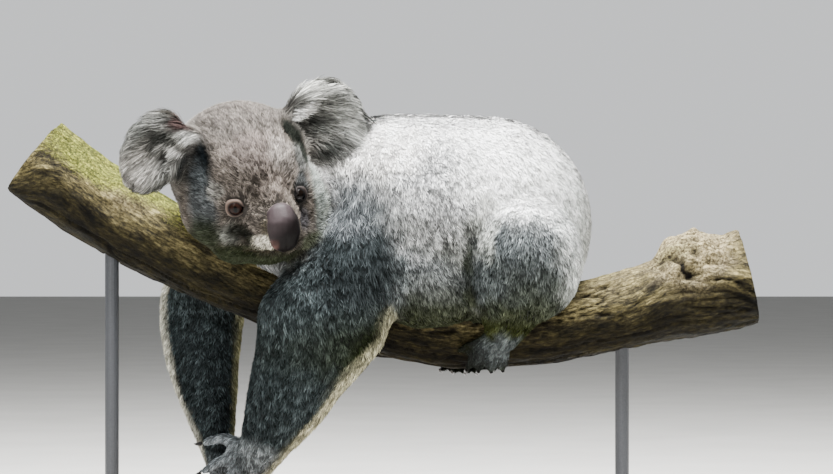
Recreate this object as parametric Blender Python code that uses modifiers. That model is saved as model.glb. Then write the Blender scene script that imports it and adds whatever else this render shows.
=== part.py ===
"""A koala resting along a branch, its arms hanging round it, on a display stand.

Places and sizes below are in millimetres. x runs along the perch towards the rump, y away from the side
that the face is turned to, and z up. z is 0 on the perch's axis where it dips lowest, and PERCH_HEIGHT
lifts that point above the floor. Left and right are the koala's own, and the left flank faces -y.
"""

import math

import bmesh
import bpy
from mathutils import Matrix, Vector

MM = 0.001
PERCH_HEIGHT = 245.0
GAP = 0.5  # between solids that meet

# Perch: stations of its axis, (x, z, radius), from the raised end past the burl.
PERCH_AXIS = (
    (-350, 194, 46),
    (-290, 146, 43),
    (-235, 110, 41),
    (-175, 79, 40),
    (-110, 52, 39.5),
    (-45, 28, 39),
    (20, 11, 38),
    (90, 0, 38),
    (150, 0, 38),
    (205, 8, 38),
    (260, 20, 39),
    (315, 33, 43),
    (365, 46, 47),
    (415, 58, 46),
)
PERCH_ENDS = (-325.0, 388.0)
KNOTS = (
    ((330, -7, 64), (38, 38, 36)),
    ((392, -6, 82), (34, 34, 24)),
    ((-236, -8, 122), (34, 34, 34)),
)

# Stand: a flat base and two rods that run up into the perch.
BASE_SIZE, BASE_ROUND = (600.0, 280.0, 16.0), 30.0
ROD_X, ROD_RADIUS, ROD_SOCKET = (-248.0, 262.0), 7.0, 14.0
BASE_SOCKET = 8.0

# Head: its centre, and how it is turned from looking along -y.
HEAD_CENTRE = (-110.5, -74, 145)
HEAD_YAW, HEAD_PITCH, HEAD_ROLL = math.radians(26), math.radians(8), math.radians(10.5)
EYE_PLACE, EYE_RADIUS = (48.7, 32.3, -11), 8.6
HEAD_MASSES = (
    ((-12, 0, 16), (66, 72, 66)),
    ((12, 2, -8), (50, 66, 60)),
    ((26, 0, 20), (38, 52, 38)),
    ((49, 1, -31), (35, 31, 31)),
    ((41, 1, -9), (37, 23, 26)),
    ((30, 3, -50), (40, 38, 28)),
    ((4, 44, -22), (46, 36, 46)),
    ((8, 58, -26), (28, 26, 38)),
    ((18, 34, -46), (36, 30, 30)),
    ((4, -38, -18), (46, 32, 38)),
    ((20, -26, -44), (36, 26, 30)),
    ((-6, 46, 30), (34, 27, 36)),
    ((-6, -46, 30), (34, 27, 36)),
)
NOSE_PAD = (
    ((75, 2, -20.5), (10, 13.5, 11)),
    ((79, 2, -29), (12, 16, 13)),
    ((80, 2, -38), (12, 16, 13)),
    ((78, 2, -46.5), (11.5, 13, 10.5)),
)

# Each ear: its centre from the head's, its radii (thickness, width, height), and its turns about the
# head's up, left and forward axes in degrees.
EARS = {
    "left": ((8, 85, 50), (17, 45, 43), (-6, -10, 10)),
    "right": ((4, -91, 49), (16, 33, 47), (-8, -10, -36)),
}
EAR_ROOT, EAR_ROOT_RADII = (4, 52, 40), (18, 26, 28)

# Trunk and neck.
BARREL = (
    ((-22, 14, 121), (80, 78, 90)),
    ((34, 4, 120), (80, 94, 98)),
    ((92, 0, 112), (100, 104, 105)),
    ((130, 2, 105), (104, 101, 110)),
)
TRUNK_MASSES = (
    ((-62, 44, 84), (58, 44, 48)),
    ((68, -50, 57), (72, 48, 56)),
    ((68, 50, 57), (72, 48, 56)),
    ((-74, -36, 80), (38, 34, 28)),
)
NECK = (((-30, 8, 136), (72, 70, 78)), ((-100, -30, 146), (60, 56, 62)))
NECK_CUT, NECK_WAY = (-58, -14, 150), (-1, -0.35, 0.15)

# Arms, from the shoulder to the wrist: each station's centre and its radii along x, y and z.
ARMS = {
    "left": (
        ((14, -44, 104), (50, 42, 58)),
        ((-4, -66, 62), (54, 44, 45)),
        ((-33, -79, 21), (68, 42, 40)),
        ((-36, -76, -4), (66, 41, 34)),
        ((-46, -70, -26), (59, 39, 30)),
        ((-60, -60, -50), (50, 36, 28)),
        ((-72, -48, -77), (43, 32, 26)),
        ((-84, -38, -98), (35, 28, 22)),
        ((-95, -28, -117), (27, 24, 20)),
        ((-104, -20, -134), (22, 20, 17)),
    ),
    "right": (
        ((-95, 50, 100), (52, 42, 50)),
        ((-135, 74, 66), (48, 40, 42)),
        ((-163, 83, 30), (46, 40, 38)),
        ((-164, 77, 3), (45, 38, 30)),
        ((-162, 67, -31), (40, 36, 26)),
        ((-158, 55, -57), (35, 32, 24)),
        ((-152, 42, -85), (28, 27, 22)),
        ((-146, 28, -112), (21, 21, 18)),
        ((-141, 20, -131), (18, 17, 14)),
    ),
}
ARM_MARGIN = 7.0
ELBOWS = {"left": ((-36, -76, -8), (-0.25, 0.2, -1)), "right": ((-164, 80, 12), (0.05, -0.2, -1))}

# Hands: the palm's stations, and each digit's knuckle, middle and tip.
HANDS = {
    "left": {
        "palm": (((-102, -22, -126), (20, 17, 16)), ((-112, -17, -134), (15, 12, 17))),
        "digits": (
            ((-118, -15, -112), (-137, -7, -107), (-154, -3, -112)),
            ((-120, -14, -122), (-138, -8, -130), (-156, -2, -141)),
            ((-118, -13, -136), (-132, -9, -150), (-145, -4, -165)),
            ((-112, -14, -142), (-121, -11, -160), (-130, -7, -178)),
            ((-105, -16, -143), (-109, -14, -162), (-113, -10, -181)),
        ),
    },
    "right": {
        "palm": (((-141, 20, -131), (17, 15, 14)), ((-134, 22, -148), (17, 12, 16))),
        "digits": (
            ((-124, 20, -140), (-110, 14, -144), (-97, 8, -150)),
            ((-124, 22, -149), (-110, 18, -157), (-98, 12, -166)),
            ((-128, 24, -158), (-116, 22, -170), (-106, 17, -182)),
            ((-136, 25, -161), (-127, 25, -175), (-119, 21, -188)),
            ((-144, 25, -160), (-139, 26, -174), (-133, 23, -187)),
        ),
    },
}
FINGER_RADII = (7.4, 6.7, 5.9)
PALM_FACES = {"left": (0, 1, 0.3), "right": (0, -1, 0.2)}

# Legs: how far each is shifted along the perch, and how many degrees further round it the foot reaches.
LEGS = {"left": (0, -3), "right": (-25, 11)}
THIGH = (((164, 78, 70), (58, 50, 65)), ((148, 81, 47), (40, 41, 43)))
TOE_RADII = (6.6, 6.0, 5.1)

CLAW_LENGTH, CLAW_RADIUS, CLAW_TIP, CLAW_CURL = 13.0, 2.7, 0.6, 0.55

OUTWARD = {"left": -1, "right": 1}  # along y


def clear_scene():
    """Removes whatever the file holds when the script starts."""
    for obj in list(bpy.data.objects):
        bpy.data.objects.remove(obj, do_unlink=True)


def material(name, colour, roughness, metallic=0.0):
    """A Principled material with a sub-part's plain colour."""
    made = bpy.data.materials.new(name)
    made.use_nodes = True
    shader = made.node_tree.nodes["Principled BSDF"]
    shader.inputs["Base Color"].default_value = (*colour, 1.0)
    shader.inputs["Roughness"].default_value = roughness
    shader.inputs["Metallic"].default_value = metallic
    return made


def place(x, y, z):
    """A point of the koala or perch, in metres above the floor."""
    return Vector((x, y, z + PERCH_HEIGHT)) * MM


def placed(stations):
    return [(place(*centre), radii) for centre, radii in stations]


def head_frame():
    """The head's own axes, forward, left and up, with its centre as the origin."""
    yaw = Matrix.Rotation(HEAD_YAW, 3, "Z")
    pitch = Matrix.Rotation(HEAD_PITCH, 3, "X")
    roll = Matrix.Rotation(-HEAD_ROLL, 3, "Y")
    facing = Matrix(((0, 1, 0), (-1, 0, 0), (0, 0, 1)))
    return Matrix.Translation(place(*HEAD_CENTRE)) @ (yaw @ pitch @ roll @ facing).to_4x4()


def add_mass(bm, centre, radii, axes=None, detail=3):
    """Adds an ellipsoid: its centre in metres, its radii in millimetres along the axes given."""
    turn = axes.to_4x4() if axes else Matrix.Identity(4)
    size = Matrix.Diagonal((*(Vector(radii) * MM), 1.0))
    matrix = Matrix.Translation(centre) @ turn @ size
    bmesh.ops.create_icosphere(bm, subdivisions=detail, radius=1.0, matrix=matrix)


def add_limb(bm, stations, axes=None, margin=0.0):
    """Adds a limb that runs through (centre, radii) stations, each pair wrapped in its hull."""
    for pair in zip(stations, stations[1:]):
        link = bmesh.new()
        for centre, radii in pair:
            add_mass(link, centre, [radius + margin for radius in radii], axes)
        hull = bmesh.ops.convex_hull(link, input=link.verts, use_existing_faces=False)
        spare = {item for item in hull["geom_interior"] if isinstance(item, bmesh.types.BMVert)}
        bmesh.ops.delete(link, geom=list(spare), context="VERTS")
        mesh = bpy.data.meshes.new("link")
        link.to_mesh(mesh)
        link.free()
        bm.from_mesh(mesh)
        bpy.data.meshes.remove(mesh)


def link_object(name, bm, collection="koala"):
    """Makes an object of a bmesh and puts it in the collection named."""
    mesh = bpy.data.meshes.new(name)
    bmesh.ops.recalc_face_normals(bm, faces=bm.faces)
    bm.to_mesh(mesh)
    bm.free()
    return link_mesh(name, mesh, collection)


def link_mesh(name, mesh, collection="koala"):
    obj = bpy.data.objects.new(name, mesh)
    bpy.data.collections[collection].objects.link(obj)
    if collection == "cutters":
        obj.hide_render = True
        obj.display_type = "WIRE"
    return obj


def apply_modifiers(obj):
    """Turns the object's evaluated shape into its mesh."""
    graph = bpy.context.evaluated_depsgraph_get()
    shaped = bpy.data.meshes.new_from_object(obj.evaluated_get(graph))
    obj.modifiers.clear()
    old, obj.data = obj.data, shaped
    bpy.data.meshes.remove(old)
    return obj


def moulded(name, bm, voxel, smoothing, triangles, collection="koala"):
    """One skin over overlapping masses, softened, then thinned to about that many triangles."""
    obj = link_object(name, bm, collection)
    skin = obj.modifiers.new("skin", "REMESH")
    skin.mode = "VOXEL"
    skin.voxel_size = voxel * MM
    soften = obj.modifiers.new("soften", "SMOOTH")
    soften.factor = 0.5
    soften.iterations = smoothing
    apply_modifiers(obj)
    thin = obj.modifiers.new("thin", "DECIMATE")
    thin.ratio = min(1.0, triangles / (2 * len(obj.data.polygons)))
    apply_modifiers(obj)
    obj["form"] = obj.data.copy()
    return obj


def grown_copy(obj, by=GAP):
    """A copy of a solid pushed out along its normals, to cut a neighbour with.

    It starts from the moulded form, where there is one, as that has no sharp rims from cuts of its own.
    """
    cutter = link_mesh(obj.name + "_cutter", obj.get("form", obj.data).copy(), "cutters")
    normals = [vertex.normal.copy() for vertex in cutter.data.vertices]
    for vertex, normal in zip(cutter.data.vertices, normals):
        vertex.co += normal * by * MM
    return cutter


def combine(obj, cutter, operation="DIFFERENCE"):
    """Cuts a solid with a cutter, and removes the cutter.

    EXACT loses the trunk where many facets of two moulded forms cross, so the cuts use MANIFOLD.
    """
    bpy.context.view_layer.update()
    step = obj.modifiers.new(operation.lower(), "BOOLEAN")
    step.operation = operation
    step.solver = "MANIFOLD"
    step.object = cutter
    apply_modifiers(obj)
    bpy.data.objects.remove(cutter, do_unlink=True)
    return obj


def cut_by(obj, *neighbours):
    """Makes room in one solid for its neighbours, with a gap all round."""
    for neighbour in neighbours:
        combine(obj, grown_copy(neighbour))
    return keep_largest(obj)


def keep_largest(obj):
    """Drops the crumbs that cutting leaves, so that the solid is one piece."""
    bm = bmesh.new()
    bm.from_mesh(obj.data)
    left, pieces = set(bm.verts), []
    while left:
        piece, front = set(), [left.pop()]
        while front:
            vert = front.pop()
            piece.add(vert)
            reached = {edge.other_vert(vert) for edge in vert.link_edges} & left
            left -= reached
            front.extend(reached)
        pieces.append(piece)
    pieces.sort(key=len)
    crumbs = [vert for piece in pieces[:-1] for vert in piece]
    bmesh.ops.delete(bm, geom=crumbs, context="VERTS")
    bm.to_mesh(obj.data)
    bm.free()
    return obj


def half_space(point, normal, reach=400.0):
    """A cutter box that fills the side of a plane that its normal points to."""
    bm = bmesh.new()
    turn = Vector(normal).normalized().to_track_quat("Z", "Y").to_matrix().to_4x4()
    forward = Matrix.Translation((0, 0, reach / 2 * MM))
    bmesh.ops.create_cube(bm, size=reach * MM, matrix=Matrix.Translation(point) @ turn @ forward)
    return link_object("half_space", bm, "cutters")


def split(obj, point, normal, far_name):
    """Parts a solid at a plane. The far side, where the normal points, becomes a new object."""
    way = Vector(normal).normalized()
    far = link_mesh(far_name, obj.data.copy())
    shift = way * GAP / 2 * MM
    combine(obj, half_space(point - shift, way))
    combine(far, half_space(point + shift, -way))
    keep_largest(obj)
    return keep_largest(far)


def perch_axis(x):
    """The perch's axis height and radius at x, in millimetres, on a smooth curve through its stations."""
    spans = list(zip(PERCH_AXIS, PERCH_AXIS[1:]))
    index = next((i for i, (_, end) in enumerate(spans) if x <= end[0]), len(spans) - 1)
    before = spans[max(index - 1, 0)][0]
    after = spans[min(index + 1, len(spans) - 1)][1]
    start, end = spans[index]
    share = (x - start[0]) / (end[0] - start[0])
    values = []
    for axis in (1, 2):
        leave = (end[axis] - before[axis]) / (end[0] - before[0]) * (end[0] - start[0])
        arrive = (after[axis] - start[axis]) / (after[0] - start[0]) * (end[0] - start[0])
        square, cube = share**2, share**3
        values.append(
            (2 * cube - 3 * square + 1) * start[axis]
            + (cube - 2 * square + share) * leave
            + (3 * square - 2 * cube) * end[axis]
            + (cube - square) * arrive
        )
    return values


def on_perch(x, angle, thickness, outward):
    """The centre of something that thick that lies on the perch, angle degrees below level on one side."""
    height, radius = perch_axis(x)
    reach = radius + thickness
    below = math.radians(angle)
    return place(x, outward * reach * math.cos(below), height - reach * math.sin(below))


def build_perch():
    """The cut length of branch: a round limb with knots, sawn square at both ends."""
    bm = bmesh.new()
    first, last = PERCH_AXIS[0][0], PERCH_AXIS[-1][0]
    steps = 26
    stations = []
    for step in range(steps + 1):
        x = first + (last - first) * step / steps
        height, radius = perch_axis(x)
        stations.append((place(x, 0, height), (radius,) * 3))
    add_limb(bm, stations)
    for centre, radii in placed(KNOTS):
        add_mass(bm, centre, radii)
    perch = moulded("perch_branch", bm, 6.0, 6, 360)
    for x, outward in zip(PERCH_ENDS, (-1, 1)):
        run = place(x + 5, 0, perch_axis(x + 5)[0]) - place(x - 5, 0, perch_axis(x - 5)[0])
        combine(perch, half_space(place(x, 0, perch_axis(x)[0]), run * outward))
    return perch


def build_base():
    """The stand's flat plate, with rounded corners and a softened upper edge."""
    length, width, thick = BASE_SIZE
    bm = bmesh.new()
    size = Matrix.Diagonal((length * MM, width * MM, thick * MM, 1.0))
    bmesh.ops.create_cube(bm, size=1.0, matrix=Matrix.Translation((0, 0, thick / 2 * MM)) @ size)
    corners = [edge for edge in bm.edges if edge.verts[0].co.z != edge.verts[1].co.z]
    bmesh.ops.bevel(bm, geom=corners, offset=BASE_ROUND * MM, segments=4, affect="EDGES", profile=0.5)
    rim = [edge for edge in bm.edges if all(vert.co.z > 0.9 * thick * MM for vert in edge.verts)]
    bmesh.ops.bevel(bm, geom=rim, offset=2.0 * MM, segments=1, affect="EDGES", profile=0.5)
    return link_object("stand_base", bm)


def build_rod(name, x):
    """A round rod that stands in the base and runs up into the perch."""
    height, radius = perch_axis(x)
    low = BASE_SIZE[2] - BASE_SOCKET
    high = height + PERCH_HEIGHT - radius + ROD_SOCKET
    bm = bmesh.new()
    middle = Matrix.Translation(Vector((x, 0, (low + high) / 2)) * MM)
    bmesh.ops.create_cone(
        bm, cap_ends=True, segments=16, radius1=ROD_RADIUS * MM, radius2=ROD_RADIUS * MM,
        depth=(high - low) * MM, matrix=middle,
    )
    return link_object(name, bm)


def build_head(frame):
    """The skull, cheeks, brow, muzzle and jaw, with the coat's depth over them."""
    bm = bmesh.new()
    for centre, radii in HEAD_MASSES:
        add_mass(bm, frame @ (Vector(centre) * MM), radii, frame.to_3x3())
    return moulded("head", bm, 3.5, 8, 680)


def build_nose(frame):
    """The long bare nose pad, broad and full above the nostrils and narrow at the top."""
    bm = bmesh.new()
    stations = [(frame @ (Vector(centre) * MM), radii) for centre, radii in NOSE_PAD]
    add_limb(bm, stations, frame.to_3x3())
    return moulded("nose", bm, 2.0, 4, 180)


def build_eye(name, frame, side):
    """The eyeball. side is 1 for the left and -1 for the right."""
    forward, left, up = EYE_PLACE
    bm = bmesh.new()
    centre = frame @ (Vector((forward, left * side, up)) * MM)
    add_mass(bm, centre, (EYE_RADIUS,) * 3, frame.to_3x3(), detail=2)
    return link_object(name, bm)


def build_ear(name, frame, side):
    """A round, thick ear, hollowed in front, that stands out from the side of the crown."""
    place_in_head, radii, turns = EARS[name]
    turn = Matrix.Identity(3)
    for degrees, axis in zip(turns, "ZYX"):
        turn = turn @ Matrix.Rotation(math.radians(degrees), 3, axis)
    axes = frame.to_3x3() @ turn
    centre = frame @ (Vector(place_in_head) * MM)
    forward, left, up = EAR_ROOT
    root = frame @ (Vector((forward, left * side, up)) * MM)
    thick, width, height = radii
    bm = bmesh.new()
    add_mass(bm, centre, radii, axes)
    add_limb(bm, [(centre.lerp(root, 0.4), (thick * 0.8, width * 0.7, height * 0.7)), (root, EAR_ROOT_RADII)], axes)
    ear = moulded(f"ear_{name}", bm, 3.0, 6, 160)
    bm = bmesh.new()
    hollow = centre + axes @ Vector((thick + 6, -4 * side, -2)) * MM
    add_mass(bm, hollow, (thick + 2, width * 0.68, height * 0.68), axes, detail=2)
    return combine(ear, link_object("hollow", bm, "cutters"))


def build_body():
    """Trunk, neck and both arms as one form, which is parted afterwards."""
    bm = bmesh.new()
    add_limb(bm, placed(BARREL))
    for centre, radii in placed(TRUNK_MASSES):
        add_mass(bm, centre, radii)
    add_limb(bm, placed(NECK))
    for stations in ARMS.values():
        add_limb(bm, placed(stations))
    return moulded("trunk", bm, 5.0, 10, 1050)


def part_arm(body, name):
    """Parts an arm from the body along the arm's own outline, then at the elbow."""
    bm = bmesh.new()
    add_limb(bm, placed(ARMS[name]), margin=ARM_MARGIN)
    region = moulded("region", bm, 8.0, 4, 160, "cutters")
    upper = link_mesh(f"upper_arm_{name}", body.data.copy())
    cut_by(body, region)
    combine(upper, region, "INTERSECT")
    point, way = ELBOWS[name]
    forearm = split(upper, place(*point), way, f"forearm_{name}")
    return upper, forearm


def build_paw(name, palm, digits, thickness, triangles):
    """A hand or foot: its palm or sole, and its digits.

    Returns the solid and, for each digit, its tip and the way it points.
    """
    bm = bmesh.new()
    add_limb(bm, palm)
    ends = []
    for points in digits:
        add_limb(bm, [(point, (radius,) * 3) for point, radius in zip(points, thickness)])
        ends.append((points[-1], (points[-1] - points[-2]).normalized()))
    return moulded(name, bm, 2.2, 3, triangles), ends


def build_claw(name, tip, way, radius, curl):
    """A claw that grows from the end of a digit that thick, and bends towards curl."""
    bm = bmesh.new()
    rings, sides = 3, 5
    across = way.cross(curl).normalized()
    over = across.cross(way).normalized()
    root = tip + way * (radius - 2.5) * MM
    for ring in range(rings + 1):
        share = ring / rings
        bend = share**2 * CLAW_CURL
        centre = root + (way * share * (1 - bend / 3) - over * bend * 0.75) * CLAW_LENGTH * MM
        thick = (CLAW_RADIUS * (1 - share) + CLAW_TIP * share) * MM
        for step in range(sides):
            turn = 2 * math.pi * step / sides
            bm.verts.new(centre + across * thick * math.cos(turn) + over * thick * 1.25 * math.sin(turn))
    bm.verts.ensure_lookup_table()
    for ring in range(rings):
        for step in range(sides):
            corner = ring * sides + step
            beside = ring * sides + (step + 1) % sides
            bm.faces.new([bm.verts[i] for i in (corner, beside, beside + sides, corner + sides)])
    bm.faces.new(bm.verts[:sides])
    bm.faces.new(bm.verts[-sides:])
    return link_object(name, bm)


def build_hand(name):
    """A hand with two thumbs and three fingers, and its claws."""
    shape = HANDS[name]
    digits = [[place(*point) for point in points] for points in shape["digits"]]
    hand, ends = build_paw(f"hand_{name}", placed(shape["palm"]), digits, FINGER_RADII, 290)
    claws = []
    for number, (tip, way) in enumerate(ends, start=1):
        curl = -Vector(PALM_FACES[name])
        claws.append(build_claw(f"claw_hand_{name}_{number}", tip, way, FINGER_RADII[-1], curl))
    return hand, claws


def build_leg(name):
    """The folded thigh, the short shank, and the foot that wraps the perch with its claws."""
    outward = OUTWARD[name]
    shift, reach = LEGS[name]
    bm = bmesh.new()
    for (x, y, z), radii in THIGH:
        add_mass(bm, place(x + shift / 2, y * outward, z), radii)
    thigh = moulded(f"thigh_{name}", bm, 5.0, 6, 180)
    bm = bmesh.new()
    heel = on_perch(142 + shift, 6, 17, outward)
    add_limb(bm, [(place(150 + shift, 74 * outward, 26), (36, 30, 26)), (heel, (17, 15, 16))])
    shank = moulded(f"shank_{name}", bm, 4.0, 4, 110)

    sole = [
        (on_perch(141 + shift, 2 + reach, 13, outward), (14, 12, 15)),
        (on_perch(134 + shift, 13 + reach, 11, outward), (16, 11, 14)),
        (on_perch(130 + shift, 23 + reach, 8, outward), (18, 9, 11)),
    ]
    digits = []
    for x, start in ((144, 25), (135, 27), (125, 25), (116, 22)):
        lean = (x - 150) * 0.12
        digits.append([
            on_perch(x + shift, start + reach, 7, outward),
            on_perch(x + shift + lean, start + 20 + reach, 6, outward),
            on_perch(x + shift + 2 * lean, start + 38 + reach, 4.5, outward),
        ])
    clawed = len(digits)
    digits.append([
        on_perch(118 + shift, 17 + reach, 8, outward),
        on_perch(108 + shift, 20 + reach, 7, outward),
        on_perch(99 + shift, 28 + reach, 5.5, outward),
    ])
    foot, ends = build_paw(f"foot_{name}", sole, digits, TOE_RADII, 290)
    claws = []
    for number, (tip, way) in zip((5, 4, 3, 2), ends[:clawed]):
        away = tip - place(tip.x / MM, 0, perch_axis(tip.x / MM)[0])
        claws.append(build_claw(f"claw_foot_{name}_{number}", tip, way, TOE_RADII[-1], away))
    return thigh, shank, foot, claws


def main():
    clear_scene()
    for name in ("koala", "cutters"):
        bpy.context.scene.collection.children.link(bpy.data.collections.new(name))

    frame = head_frame()
    perch = build_perch()
    base = build_base()
    rods = [build_rod("stand_rod_head", ROD_X[0]), build_rod("stand_rod_rump", ROD_X[1])]
    head = build_head(frame)
    nose = build_nose(frame)
    eyes = [build_eye("eye_left", frame, 1), build_eye("eye_right", frame, -1)]
    ears = [build_ear("left", frame, 1), build_ear("right", frame, -1)]
    trunk = build_body()
    upper_left, forearm_left = part_arm(trunk, "left")
    upper_right, forearm_right = part_arm(trunk, "right")
    hand_left, claws_left = build_hand("left")
    hand_right, claws_right = build_hand("right")
    legs = [build_leg("left"), build_leg("right")]

    # What meets is parted: each solid makes room for the firmer ones that it lies against.
    cut_by(base, *rods)
    cut_by(perch, *rods)
    cut_by(nose, *eyes)
    cut_by(head, nose, *eyes, perch)
    for ear in ears:
        cut_by(ear, head)
    for arm in (upper_left, upper_right, forearm_left, forearm_right):
        cut_by(arm, head, *ears, perch)
    cut_by(hand_right, forearm_right, forearm_left)
    cut_by(hand_left, forearm_left, forearm_right, hand_right)
    for thigh, shank, foot, claws in legs:
        cut_by(foot, perch)
        cut_by(shank, foot, perch)
        cut_by(thigh, shank, foot, perch, forearm_left)
        cut_by(trunk, thigh, shank, foot)
        for claw in claws:
            cut_by(claw, foot, perch)
    for hand, claws in ((hand_left, claws_left), (hand_right, claws_right)):
        for claw in claws:
            cut_by(claw, hand, forearm_left, forearm_right)
    cut_by(trunk, head, *ears, perch)
    neck = split(trunk, place(*NECK_CUT), NECK_WAY, "neck")

    coat = material("coat", (0.36, 0.36, 0.37), 0.85)
    pale_coat = material("pale_coat", (0.62, 0.61, 0.58), 0.85)
    skin = material("bare_skin", (0.05, 0.045, 0.05), 0.45)
    eye = material("eye", (0.09, 0.035, 0.02), 0.08)
    horn = material("claw_horn", (0.03, 0.027, 0.025), 0.35)
    bark = material("bark", (0.16, 0.13, 0.08), 0.9)
    stained = material("stand_wood", (0.04, 0.038, 0.036), 0.4)
    steel = material("stand_steel", (0.05, 0.05, 0.052), 0.5, 0.6)
    furred = [head, neck, trunk, upper_left, upper_right, forearm_left, forearm_right, hand_left, hand_right]
    horned = [*claws_left, *claws_right]
    for thigh, shank, foot, claws in legs:
        furred.extend((thigh, shank, foot))
        horned.extend(claws)
    finishes = (
        (coat, furred), (pale_coat, ears), (skin, [nose]), (eye, eyes), (horn, horned), (bark, [perch]),
        (stained, [base]), (steel, rods),
    )
    for finish, objects in finishes:
        for obj in objects:
            obj.data.materials.clear()
            obj.data.materials.append(finish)


main()
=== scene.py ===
"""The looks of a life-size model koala that rests along a cut length of branch, on its display stand.

One skin, drawn in from the solids by the depth of the coat, takes the place of all the flesh. The coat over
it is many small closed locks that follow the lie of the fur. Skin and coat read the same markings. Lengths
are metres unless a name ends in _mm, and colours are sRGB hex values.
"""

import sys
import logging
import math
from dataclasses import dataclass, field, replace
from enum import Enum

import bmesh
import bpy
import numpy as np
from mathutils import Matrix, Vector
from mathutils.bvhtree import BVHTree


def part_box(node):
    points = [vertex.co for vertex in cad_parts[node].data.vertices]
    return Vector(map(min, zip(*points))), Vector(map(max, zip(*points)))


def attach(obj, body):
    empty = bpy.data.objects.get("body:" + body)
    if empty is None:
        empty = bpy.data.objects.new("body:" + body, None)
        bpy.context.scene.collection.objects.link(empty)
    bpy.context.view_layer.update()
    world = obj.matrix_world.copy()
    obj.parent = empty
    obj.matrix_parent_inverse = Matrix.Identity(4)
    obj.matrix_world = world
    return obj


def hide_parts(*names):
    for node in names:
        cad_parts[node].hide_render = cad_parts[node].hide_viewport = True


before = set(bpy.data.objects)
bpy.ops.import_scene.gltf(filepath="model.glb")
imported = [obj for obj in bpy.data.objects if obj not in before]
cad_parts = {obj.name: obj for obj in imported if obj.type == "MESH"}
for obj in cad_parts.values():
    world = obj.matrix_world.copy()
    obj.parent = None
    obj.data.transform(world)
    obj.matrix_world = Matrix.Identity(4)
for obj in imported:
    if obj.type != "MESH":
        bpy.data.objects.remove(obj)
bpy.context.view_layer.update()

log = logging.getLogger("koala")

MM = 0.001
BODY = "root"
BAKE_MAP = "OFBake"
MARKINGS = "markings"
SIDES = ("left", "right")
HEAD_KINDS = ("head", "nose", "eye")
EAR_HOLLOW = (-8, 2)  # the middle of an ear's hollow, outward and up in the ear's axes, in millimetres


class Slot(Enum):
    """The record's material slots that the scene's own pieces take."""

    COAT = "coat"
    SKIN = "bare_skin"
    EYE = "eye"
    CLAW = "claw_horn"
    BARK = "bark"


# ---------------------------------------------------------------- small helpers


def linear(colour: str) -> tuple[float, float, float, float]:
    """Turns an sRGB hex colour into linear RGBA.

    Args:
        colour: six hex digits with a leading #.

    Returns:
        Linear red, green, blue and an alpha of 1.
    """
    parts = [int(colour[i : i + 2], 16) / 255 for i in (1, 3, 5)]
    red, green, blue = (p / 12.92 if p <= 0.04045 else ((p + 0.055) / 1.055) ** 2.4 for p in parts)
    return (red, green, blue, 1.0)


def rgb(colour: str) -> np.ndarray:
    """The linear RGB of a hex colour as an array."""
    return np.array(linear(colour)[:3])


def ramp(values: np.ndarray, start: float, end: float) -> np.ndarray:
    """A smooth step from 0 at start to 1 at end, where end may be the smaller."""
    t = np.clip((values - start) / (end - start), 0, 1)
    return t * t * (3 - 2 * t)


def unit(vectors: np.ndarray) -> np.ndarray:
    """The vectors at length 1, along the last axis."""
    return vectors / np.maximum(np.linalg.norm(vectors, axis=-1, keepdims=True), 1e-12)


def dot(a: np.ndarray, b: np.ndarray) -> np.ndarray:
    """Dot products along the last axis, which is kept."""
    return (a * b).sum(-1, keepdims=True)


def tinted(colours: np.ndarray, colour: str, amount: np.ndarray) -> np.ndarray:
    """Linear colours moved towards a hex colour, each by its own amount from 0 to 1."""
    share = amount[:, None]
    return colours * (1 - share) + rgb(colour) * share


def clouds(points: np.ndarray, size_mm: float, seed: int = 0) -> np.ndarray:
    """Smooth random values in space.

    Args:
        points: places, one a row.
        size_mm: how far apart the peaks lie.
        seed: picks another pattern.

    Returns:
        One value from 0 to 1 for each point.
    """
    p = points / (size_mm * MM) + seed * 17.31
    cell = np.floor(p).astype(np.int64)
    t = p - cell
    t = t * t * (3 - 2 * t)
    total = np.zeros(len(points))
    for corner in np.ndindex(2, 2, 2):
        c = cell + np.array(corner)
        h = (c[:, 0] * 73856093) ^ (c[:, 1] * 19349663) ^ (c[:, 2] * 83492791) ^ (seed * 2654435)
        h = (h ^ (h >> 13)) * 1274126177
        value = ((h ^ (h >> 16)) & 0xFFFF) / 65535.0
        weight = np.prod(np.where(np.array(corner) == 1, t, 1 - t), axis=1)
        total += value * weight
    return total


def streaks(points: np.ndarray, flow: np.ndarray, size_mm: float, reach_mm: float, seed: int) -> np.ndarray:
    """Smooth random values that are drawn out along a flow, as combed hair is.

    Args:
        points: places, one a row.
        flow: the way of the flow at each, of length 1.
        size_mm: the width of a streak.
        reach_mm: half its length.
        seed: picks another pattern.

    Returns:
        One value from 0 to 1 for each point.
    """
    steps = np.linspace(-1, 1, 5) * reach_mm * MM
    total = sum(clouds(points + flow * step, size_mm, seed) for step in steps) / len(steps)
    return np.clip(0.5 + (total - 0.5) * 2.2, 0, 1)


def per_metre(size_mm: float) -> float:
    """How often a pattern of this size repeats in a metre."""
    return 1 / (size_mm * MM)


def add_node(
    tree: bpy.types.NodeTree, kind: str, inputs: dict | None = None, **settings: object
) -> bpy.types.Node:
    """Adds one shader node.

    Args:
        tree: the node tree to add to.
        kind: the node's type name, without its ShaderNode prefix.
        inputs: for each socket's name or place, its value, or the output socket that feeds it.
        settings: the node's own properties.

    Returns:
        The new node.
    """
    made = tree.nodes.new("ShaderNode" + kind)
    for name, value in settings.items():
        setattr(made, name, value)
    for name, value in (inputs or {}).items():
        if isinstance(value, bpy.types.NodeSocket):
            tree.links.new(value, made.inputs[name])
        else:
            made.inputs[name].default_value = value
    return made


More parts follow.
